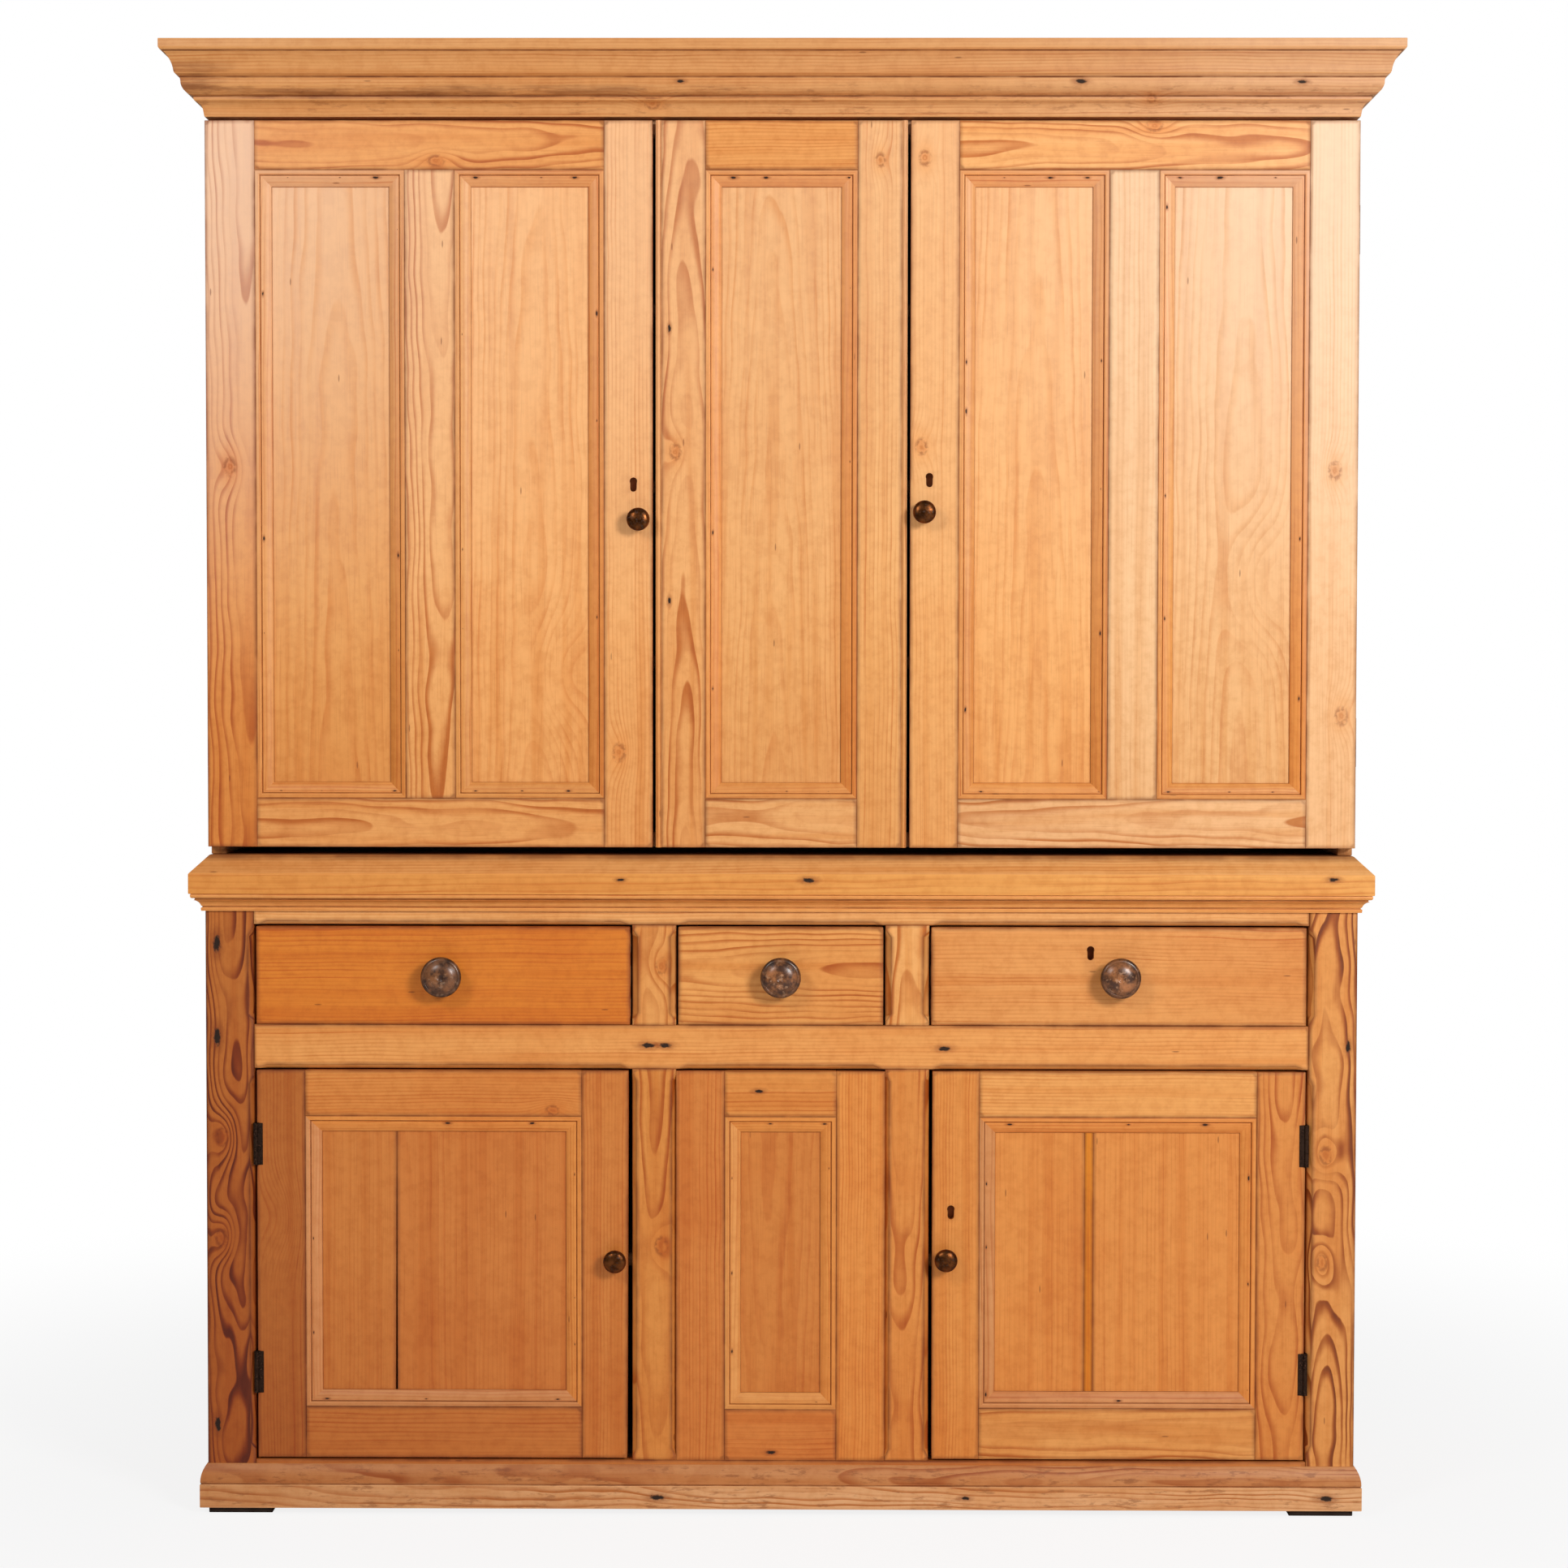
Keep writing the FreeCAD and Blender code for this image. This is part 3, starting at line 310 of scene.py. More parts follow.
def keyhole_outline() -> np.ndarray:
    """Draw a keyhole anticlockwise: most of a circle over a slot with a round foot.

    Returns:
        Points as x and z about the middle of the circle.
    """
    radius, half, drop = 5.6, 4.9, 15.5
    notch = math.asin(half / radius)
    head = np.linspace(-math.pi / 2 + notch, 1.5 * math.pi - notch, 22)
    foot = np.linspace(math.pi, 2 * math.pi, 9)
    return np.concatenate([
        np.column_stack([radius * np.cos(head), radius * np.sin(head)]),
        np.column_stack([half * np.cos(foot), half * np.sin(foot) + half - drop]),
    ])


@dataclass(frozen=True)
class Board:
    """A sawn board with rounded edges and ends, stopped chamfers and perhaps a keyhole.

    A ring of points goes round the section at each of a row of stations along the board. Each of
    the four corners is a quarter circle or a flat cut of the size that the station has there.
    """

    x: Span
    d: Span
    z: Span
    along: Axis
    face: Axis
    timber: Timber | None = None
    edge: float = 1.2
    chamfers: tuple[Chamfer, ...] = ()
    keyhole: Span | None = None
    taper: float = 0.0

    STEPS = 5
    MARGIN = 7.0
    LEAST_ROOM = 0.05
    # Share by which edges are darkened: grime and painted shade in the joins and gaps between parts.
    EDGE_DIRT_AND_SHADE = -0.82
    ROUND_MARK = np.array([0, 0.8, 1, 1, 1, 0.8, 0])
    FLAT_MARK = np.array([0, 0.9, 0.45, 0.35, 0.45, 0.9, 0])
    END_MARK = np.array([1.0, 1.0, 1.0, 0.8])
    HOLE_ROOM = (22.0, 14.0)
    HOLE_DEPTH = 17.0
    SEED_MIX = (3.1, 7.7, 1.3, 5.9, 2.3, 11.9)

    @property
    def low(self) -> Point:
        """The board's lowest corner."""
        return self.x[0], self.d[0], self.z[0]

    @property
    def high(self) -> Point:
        """The board's highest corner."""
        return self.x[1], self.d[1], self.z[1]

    @property
    def width(self) -> int:
        """Number of the direction that runs across the board's face."""
        return 3 - self.along.value - self.face.value

    @property
    def hole_span(self) -> Span:
        """Places along the board that the cell round the keyhole lies between."""
        middle = self.keyhole[0 if self.along is Axis.X else 1]
        return middle - self.HOLE_ROOM[0], middle + self.HOLE_ROOM[1]

    def stations(self) -> tuple[np.ndarray, np.ndarray, np.ndarray]:
        """Find the places of the rings.

        An end is a quarter circle: at angle t it lies 1 - cos t radii along the board and
        1 - sin t radii in from its sides.

        Returns:
            Places along the board, how far each ring is drawn in, and how strongly its ends are darkened with
            grime and painted shade.
        """
        start, end = self.low[self.along.value], self.high[self.along.value]
        turn = np.linspace(0, math.pi / 2, 4)
        rise, inset = self.edge * (1 - np.cos(turn)), self.edge * (1 - np.sin(turn))
        breaks = [start + self.edge + self.MARGIN, end - self.edge - self.MARGIN]
        for cut in self.chamfers:
            breaks += cut.places
        if self.keyhole:
            breaks += self.hole_span
        inner = np.unique(np.round(breaks, 3))
        inner = inner[(inner > start + self.edge + 0.02) & (inner < end - self.edge - 0.02)]
        places = np.concatenate([start + rise, inner, end - rise[::-1]])
        insets = np.concatenate([inset, np.zeros(len(inner)), inset[::-1]])
        worn = np.concatenate([self.END_MARK, np.zeros(len(inner)), self.END_MARK[::-1]])
        return places, insets, worn

    def section(self, places: np.ndarray, insets: np.ndarray) -> tuple[np.ndarray, np.ndarray, np.ndarray]:
        """Work out the rings' points across and through the board.

        Round corner: s (1 - cos t) and s (1 - sin t) in from its two faces. Flat corner: s k and
        s (1 - k), with k from nought to one.

        Args:
            places: Places of the rings along the board.
            insets: How far each ring is drawn in.

        Returns:
            Across, through and edge-mark values, which darken the edges with grime and painted shade, each
            rings by points.
        """
        face, along, width = self.face.value, self.along.value, self.width
        share = (places - self.low[along]) / (self.high[along] - self.low[along])
        low_v, high_v = self.low[width] + insets, self.high[width] - insets - self.taper * (1 - share)
        low_w, high_w = self.low[face] + insets, self.high[face] - insets
        size = np.full((4, len(places)), self.edge)
        flat = np.zeros((4, len(places)))
        for cut in self.chamfers:
            run = np.interp(places, cut.places, [0.0, cut.size, cut.size, 0.0])
            corner = cut.edge.value
            flat[corner] = np.where(run > size[corner], 1.0, flat[corner])
            size[corner] = np.maximum(run, size[corner])
        turn = np.linspace(0, math.pi / 2, self.STEPS)
        level = np.linspace(0, 1, self.STEPS)
        halves = np.array([(self.high[axis] - self.low[axis]) / 2 for axis in (width, face)])
        room_v, room_w = np.clip(halves - size.max() - self.LEAST_ROOM, self.LEAST_ROOM, self.MARGIN)
        across, through, worn = [], [], []
        for corner in range(4):
            s, f = size[corner][:, None], flat[corner][:, None]
            ahead = s * ((1 - np.cos(turn)) * (1 - f) + level * f)
            behind = s * ((1 - np.sin(turn)) * (1 - f) + (1 - level) * f)
            into, out = (room_w, room_v) if corner in (0, 2) else (room_v, room_w)
            ahead = np.hstack([0 * s, ahead, s + out])
            behind = np.hstack([s + into, behind, 0 * s])
            v_side, w_side = (low_v, high_v, high_v, low_v)[corner], (low_w, low_w, high_w, high_w)[corner]
            v_step, w_step = ((ahead, behind), (-behind, ahead), (-ahead, -behind), (behind, -ahead))[corner]
            across.append(v_side[:, None] + v_step)
            through.append(w_side[:, None] + w_step)
            worn.append(self.ROUND_MARK * (1 - f) + self.FLAT_MARK * f)
        return np.hstack(across), np.hstack(through), np.hstack(worn)

    def pierced(self, shell: Shell, ring: int, station: int, mark: np.ndarray) -> tuple[Shell, np.ndarray]:
        """Cut the keyhole into the front face.

        The cell of the front face round the hole gives way to four flat faces between its
        corners and the outline, and a wall and a floor line the hole; they carry painted shade, darkest on
        the floor.

        Args:
            shell: The board without its hole, faces in the order that tube gives.
            ring: Points in a ring.
            station: The ring below the hole.
            mark: Wear, grime and painted shade values of the points.

        Returns:
            The pierced shell and its values of wear, grime and painted shade.
        """
        plane = keyhole_outline()
        if self.width != Axis.X.value:
            plane = plane[::-1, ::-1]
        count = len(plane)
        rim = np.zeros((count, 3))
        rim[:, self.width], rim[:, self.along.value] = plane[:, 0], plane[:, 1]
        rim += np.array([self.keyhole[0], self.low[1], self.keyhole[1]])
        deep = rim + np.array([0.0, self.HOLE_DEPTH, 0.0])
        base = len(shell.points)
        gone = station * ring + self.STEPS + 1
        cell = [gone, gone + 1, gone + ring + 1, gone + ring]
        first = np.cumsum(shell.sizes) - shell.sizes
        corners = np.delete(shell.corners, np.arange(first[gone], first[gone] + 4))
        ends = [int(np.argmin(plane @ (1, 1))), int(np.argmax(plane @ (1, -1))),
                int(np.argmax(plane @ (1, 1))), int(np.argmin(plane @ (1, -1)))]
        sizes, faces = [np.delete(shell.sizes, gone)], [corners]
        for side in range(4):
            one, two = ends[side], ends[(side + 1) % 4]
            run = (one + np.arange((two - one) % count + 1)) % count
            face = np.concatenate([[cell[side], cell[(side + 1) % 4]], base + run[::-1]])
            sizes.append([len(face)])
            faces.append(face)
        here = np.arange(count)
        after = (here + 1) % count
        walls = np.stack([base + here, base + after, base + count + after, base + count + here], -1)
        sizes += [np.full(count, 4), [count]]
        faces += [walls.ravel(), base + count + here]
        # The keyhole's wall and floor are painted dark: painted shade inside the hole.
        dirt_and_shade = np.concatenate([mark.ravel(), np.full(count, -0.3), np.full(count, -1.0)])
        points = np.concatenate([shell.points, rim, deep])
        return Shell(points, np.concatenate(sizes), np.concatenate(faces)), dirt_and_shade

    def shell(self) -> Shell:
        """Build the board's surface, with the values of its timber where it has one.

        Returns:
            The closed shell.
        """
        along, face, width = self.along.value, self.face.value, self.width
        places, insets, end_mark = self.stations()
        across, through, wear = self.section(places, insets)
        rings = np.zeros(across.shape + (3,))
        rings[..., along] = places[:, None]
        rings[..., width] = across
        rings[..., face] = through
        # Every rounded or chamfered edge is darkened with grime and painted shade in the joins and gaps
        # between parts.
        mark = np.maximum(wear, end_mark[:, None]) * self.EDGE_DIRT_AND_SHADE
        shell = tube(rings)
        if self.keyhole:
            station = int(np.searchsorted(places, self.hole_span[0] + 0.01)) - 1
            shell, mark = self.pierced(shell, rings.shape[1], station, mark)
        if self.timber:
            order = (along, width, face)
            centre = tuple((self.low[axis] + self.high[axis]) / 2 for axis in order)
            seed = int(abs(np.dot((*self.low, *self.high), self.SEED_MIX)) * 10)
            places = (shell.points[:, axis] for axis in order)
            shell.values = self.timber.values(*places, mark, centre, self.along is Axis.Z, seed)
        return shell.outward()


def outline(corners: list[tuple[float, ...]], soften: float = 0.8, seat: float = -1.0,
            steps: int = 7) -> tuple[np.ndarray, np.ndarray]:
    """Draw a moulding's closed section from corners across and up, anticlockwise.

    A third value makes the run to the next corner an arc of that radius, hollow where negative: a
    point at angle t is R sin t along the chord and R (cos t - cos T) off it. Sharp corners are
    eased by a curve of three points, with a point on each side where their wear fades.

    Args:
        corners: Corners as (across, up) or (across, up, radius).
        soften: Length that is eased off each side of a sharp corner.
        seat: Height up to which corners take grime and painted shade in place of wear.
        steps: Points on an arc.

    Returns:
        Points across and up, and their wear above nought, or grime and painted shade below it.
    """
    runs = []
    for corner, following in zip(corners, corners[1:] + corners[:1]):
        start, end = np.array(corner[:2], float), np.array(following[:2], float)
        if len(corner) == 2:
            runs.append(start[None])
            continue
        chord = end - start
        length = np.hypot(*chord)
        ahead, off = chord / length, np.array([chord[1], -chord[0]]) / length * np.sign(corner[2])
        radius = abs(corner[2])
        reach = math.asin(min(1.0, length / 2 / radius))
        turn = np.linspace(-reach, reach, steps)[:-1, None]
        runs.append((start + end) / 2 + ahead * radius * np.sin(turn)
                    + off * radius * (np.cos(turn) - math.cos(reach)))
    spots = np.concatenate(runs)
    back, on = spots - np.roll(spots, 1, 0), np.roll(spots, -1, 0) - spots
    back_length, on_length = np.hypot(*back.T), np.hypot(*on.T)
    back, on = back / back_length[:, None], on / on_length[:, None]
    bend = np.arctan2(back[:, 0] * on[:, 1] - back[:, 1] * on[:, 0], (back * on).sum(1))
    least_bend, ease_share, longest_fade, fade_share = math.radians(28), 0.3, 4.0, 0.45
    sharp = np.abs(bend) > least_bend
    ease = np.minimum(soften, ease_share * np.minimum(back_length, on_length))[:, None]
    fade = np.minimum(longest_fade, fade_share * np.minimum(back_length, on_length))[:, None]
    before, behind = spots - back * ease, spots + on * ease
    crown = 0.5 * spots + 0.25 * (before + behind)
    five = np.stack([spots - back * fade, before, crown, behind, spots + on * fade], 1)
    # Crests are worn; hollows take grime and painted shade.
    wear = np.where(bend > 0, 1.0, -1.0)
    wear[(spots[:, 1] <= seat) | ((seat >= 0) & (spots[:, 0] <= 0.01))] = -0.8
    marks = wear[:, None] * np.array([0.0, 0.8, 1.0, 0.8, 0.0])
    five[~sharp, 2] = spots[~sharp]
    marks[~sharp] = 0.0
    kept = np.ones(five.shape[:2], bool)
    kept[~sharp] = (False, False, True, False, False)
    return five[kept], marks[kept]


@dataclass(frozen=True)
class Strip:
    """A moulded length: a closed section carried along a straight line, its ends cut to mitres.

    The point at share t along the line and at (across, up) of the section lies at the start plus
    the run times the line, with the run of each end shifted by its mitre times across.
    """

    section: tuple[np.ndarray, np.ndarray]
    start: Point
    end: Point
    across: Point
    up: Point
    mitres: Span = (0.0, 0.0)
    timber: Timber = Timber()

    STATIONS = np.array([0.0, 0.012, 0.988, 1.0])
    SEED_MIX = (3.7, 1.9, 7.3, 2.9, 5.3, 1.1, 13.0, 17.0, 19.0)

    def shell(self) -> Shell:
        """Build the length's surface with its values.

        Returns:
            The closed shell.
        """
        spots, wear = self.section
        start, end = np.array(self.start), np.array(self.end)
        length = np.linalg.norm(end - start)
        line = (end - start) / length
        a, h = spots[:, 0], spots[:, 1]
        near, far = self.mitres[0] * a, length + self.mitres[1] * a
        run = near + (far - near) * self.STATIONS[:, None]
        rings = (start + run[..., None] * line + a[:, None] * np.array(self.across)
                 + h[:, None] * np.array(self.up))
        shell = tube(rings)
        seed = int(abs(np.dot((*self.start, *self.end, *self.across), self.SEED_MIX)) * 10)
        place = np.broadcast_to(np.dot(self.start, line), run.shape)
        ring_a, ring_h = np.broadcast_to(a, run.shape), np.broadcast_to(h, run.shape)
        upright = abs(line[2]) > 0.5
        sideways = np.array(self.across)[0 if upright else 2]
        origin = self.start[0 if upright else 2]
        if sideways:
            ring_a = origin + sideways * ring_a
        elif self.up[2]:
            ring_a, ring_h = self.start[2] + ring_h, -ring_a
        middle = (float(place.mean() + length / 2), float(ring_a.mean()), float(ring_h.mean()))
        mark = np.broadcast_to(wear, run.shape)
        shell.values = self.timber.values(place + run, ring_a, ring_h, mark, middle, bool(upright), seed)
        return shell.outward()


def rounded(profile: list[Span], steps: int = 5) -> np.ndarray:
    """Draw a smooth line through points.

    Between two points it is the cubic that has, at each of them, the slope from the point before
    to the point after.

    Args:
        profile: Points of the line.
        steps: Points on each run.

    Returns:
        The points of the smooth line.
    """
    spots = np.array(profile, float)
    before = np.concatenate([spots[:1], spots[:-1]])
    after = np.concatenate([spots[1:], spots[-1:]])
    slope = (after - before) / 2
    t = np.linspace(0, 1, steps, endpoint=False)[None, :, None]
    p, q, m, n = spots[:-1, None], spots[1:, None], slope[:-1, None], slope[1:, None]
    curve = ((2 * t**3 - 3 * t**2 + 1) * p + (t**3 - 2 * t**2 + t) * m
             + (3 * t**2 - 2 * t**3) * q + (t**3 - t**2) * n)
    return np.concatenate([curve.reshape(-1, 2), spots[-1:]])


@dataclass(frozen=True)
class Turning:
    """A turned piece: a line of radius and reach swept round an axis that points forwards.

    The point at turn t of the line's point (r, h) is x + r cos t, d - h, z + r sin t.
    """

    profile: np.ndarray
    x: float
    d: float
    z: float
    sides: int = 56

    def shell(self) -> Shell:
        """Build the turned surface.

        Returns:
            The closed shell.
        """
        turn = np.linspace(0, 2 * math.pi, self.sides, endpoint=False)
        radius, reach = self.profile[:, :1], self.profile[:, 1:]
        rings = np.stack([
            self.x + radius * np.cos(turn),
            self.d - reach + 0 * turn,
            self.z + radius * np.sin(turn),
        ], -1)
        return tube(rings).outward()


class Socket:
    """A shader value that Python's operators work on by adding Math nodes."""

    def __init__(self, nodes: "Nodes", output: bpy.types.NodeSocket) -> None:
        """Wrap one output of a node."""
        self.nodes = nodes
        self.output = output

    def math(self, operation: str, *others: "Socket | float", turned: bool = False) -> "Socket":
        """Add a Math node.

        Args:
            operation: The node's operation.
            others: Its further values.
            turned: Whether the first of them comes before this one.

        Returns:
            The node's value.
        """
        terms = [self, *others]
        if turned:
            terms[0], terms[1] = terms[1], terms[0]
        return self.nodes.add("ShaderNodeMath", {"operation": operation}, dict(enumerate(terms)))

    def __add__(self, other: "Socket | float") -> "Socket":
        """Add."""
        return self.math("ADD", other)

    __radd__ = __add__

    def __sub__(self, other: "Socket | float") -> "Socket":
        """Take away."""
        return self.math("SUBTRACT", other)

    def __rsub__(self, other: float) -> "Socket":
        """Take this from a number."""
        return self.math("SUBTRACT", other, turned=True)

    def __mul__(self, other: "Socket | float") -> "Socket":
        """Multiply."""
        return self.math("MULTIPLY", other)

    __rmul__ = __mul__

    def __truediv__(self, other: "Socket | float") -> "Socket":
        """Divide."""
        return self.math("DIVIDE", other)

    def __rtruediv__(self, other: float) -> "Socket":
        """Divide a number by this."""
        return self.math("DIVIDE", other, turned=True)

    def smooth(self, low: float, high: float) -> "Socket":
        """Rise smoothly from nought at low to one at high."""
        return self.nodes.add("ShaderNodeMapRange", {"interpolation_type": "SMOOTHSTEP"},
                              {0: self, 1: low, 2: high, 3: 0.0, 4: 1.0})

    def fall(self, low: float, high: float) -> "Socket":
        """Fall smoothly from one at low to nought at high."""
        return 1 - self.smooth(low, high)

    def band(self, low: float, full: float, last: float, high: float) -> "Socket":
        """Rise from low to full, and fall from last to high."""
        return self.smooth(low, full) * self.fall(last, high)


Number = Socket | float
Shade = Socket | Colour


class Nodes:
    """A node tree and the ways that this file adds nodes to it."""

    def __init__(self, tree: bpy.types.NodeTree) -> None:
        """Start with an empty tree."""
        tree.nodes.clear()
        self.tree = tree

    def add(self, kind: str, settings: dict | None = None, inputs: dict | None = None,
            output: int | str = 0) -> Socket:
        """Add a node, set it up and fill its sockets.

        Args:
            kind: The node's type.
            settings: Its own properties, set first.
            inputs: Values or sockets by index or name.
            output: The output to give back.

        Returns:
            That output.
        """
        node = self.tree.nodes.new(kind)
        for name, value in (settings or {}).items():
            setattr(node, name, value)
        for name, value in (inputs or {}).items():
            if isinstance(value, Socket):
                self.tree.links.new(value.output, node.inputs[name])
            else:
                node.inputs[name].default_value = value
        return Socket(self, node.outputs[output] if len(node.outputs) else None)

    def attribute(self, name: str, output: str = "Vector") -> Socket:
        """Read a value that the points carry."""
        return self.add("ShaderNodeAttribute", {"attribute_name": name}, output=output)

    def parts(self, vector: Socket) -> tuple[Socket, Socket, Socket]:
        """Split a vector into its three numbers."""
        node = self.add("ShaderNodeSeparateXYZ", inputs={0: vector}).output.node
        return tuple(Socket(self, output) for output in node.outputs)

    def vector(self, x: Number, y: Number, z: Number) -> Socket:
        """Join three numbers into a vector."""
        return self.add("ShaderNodeCombineXYZ", inputs={0: x, 1: y, 2: z})

    def noise(self, place: Socket, scale: float = 1.0, detail: float = 2.0, rough: float = 0.5) -> Socket:
        """Give smooth chance between nought and one."""
        return self.add("ShaderNodeTexNoise", {"noise_dimensions": "3D"},
                        {"Vector": place, "Scale": scale, "Detail": detail, "Roughness": rough})

    def stretched(self, place: tuple[Socket, ...], scale: Point, detail: float = 2.0,
                  rough: float = 0.5) -> Socket:
        """Give smooth chance that has its own scale in each direction."""
        spot = self.vector(*(part * by for part, by in zip(place, scale)))
        return self.noise(spot, detail=detail, rough=rough)

    def cells(self, place: Socket, output: str = "Distance") -> Socket:
        """Give the distance to, or the colour of, the nearest of points scattered on a plane."""
        return self.add("ShaderNodeTexVoronoi", {"voronoi_dimensions": "2D"},
                        {"Vector": place, "Scale": 1.0}, output)

    def mix(self, share: Number, one: Shade, two: Shade) -> Socket:
        """Blend two colours."""
        one, two = (shade if isinstance(shade, Socket) else (*shade, 1.0) for shade in (one, two))
        return self.add("ShaderNodeMix", {"data_type": "RGBA"}, {0: share, 6: one, 7: two}, 2)

    def tint(self, shade: Socket, by: Colour) -> Socket:
        """Multiply a colour by three numbers."""
        return self.add("ShaderNodeVectorMath", {"operation": "MULTIPLY"}, {0: shade, 1: by})

    def stain(self, share: Number, shade: Socket, by: Colour, ground: Socket | None = None) -> Socket:
        """Blend a share of the ground, which is the colour itself if none is given, tinted, into a colour."""
        return self.mix(share, shade, self.tint(ground or shade, by))

    def bump(self, height: Socket, depth: float, strength: float) -> Socket:
        """Raise the surface by a height."""
        return self.add("ShaderNodeBump", inputs={"Height": height, "Distance": depth, "Strength": strength})

    def surface(self, inputs: dict[str, Socket | float | tuple[float, ...]]) -> None:
        """End the tree in a Principled surface."""
        shader = self.add("ShaderNodeBsdfPrincipled", inputs=inputs)
        self.add("ShaderNodeOutputMaterial", inputs={"Surface": shader})


def new_material(name: str) -> tuple[bpy.types.Material, Nodes]:
    """Make an empty node material.

    Args:
        name: The material's name.

    Returns:
        The material and its nodes.
    """
    material = bpy.data.materials.new(name)
    material.use_nodes = True
    return material, Nodes(material.node_tree)


class Stain(Enum):
    """What colours the pine, painted shade among it: the shares of its own red, green and blue that are left.
    """

    DARK_RING = (0.27, 0.135, 0.055)
    STREAK = (0.88, 0.73, 0.53)
    FIBRE = (0.78, 0.62, 0.46)
    MOTTLE = (0.86, 0.75, 0.60)
    PALE_MOTTLE = (1.08, 1.10, 1.14)
    PATCH = (0.92, 0.80, 0.64)
    HAZE = (1.05, 1.09, 1.16)
    # Painted shade low on the press.
    PAINTED_LOW_SHADE = (0.80, 0.64, 0.46)
    NEAR_KNOT = (0.88, 0.62, 0.34)
    KNOT = (0.64, 0.36, 0.16)
    KNOT_RIM = (0.34, 0.16, 0.07)
    NICK = (0.40, 0.25, 0.15)
    # Grime and painted shade under the cornice.
    GRIME_AND_SHADE = (0.46, 0.36, 0.30)
    SPECK = (0.22, 0.11, 0.06)
    NAIL_RUST = (0.42, 0.24, 0.13)
    RUBBED = (1.10, 1.12, 1.16)
    # Grime and painted shade in hollows, joins and gaps.
    DIRT_AND_SHADE = (0.23, 0.110, 0.050)


@dataclass(frozen=True)
class PineFinish:
    """Pine with year rings, knots, worn edges, grime and painted shade in its hollows and along its edges,
    and painted sheen.
    """

    slot: str
    roughness: float
    coat: float
    ring_tint: Colour
    dust: float
    # Colour towards which the painted sheen pales the wood.
    sheen: Colour = (0.92, 0.68, 0.49)

    HOLE = (0.012, 0.006, 0.003)
    DUST = (0.34, 0.28, 0.22)

    def material(self) -> bpy.types.Material:
        """Write the material.

        Returns:
            The material.
        """
        material, nodes = new_material(self.slot)
        PineShader(nodes, self).build()
        return material


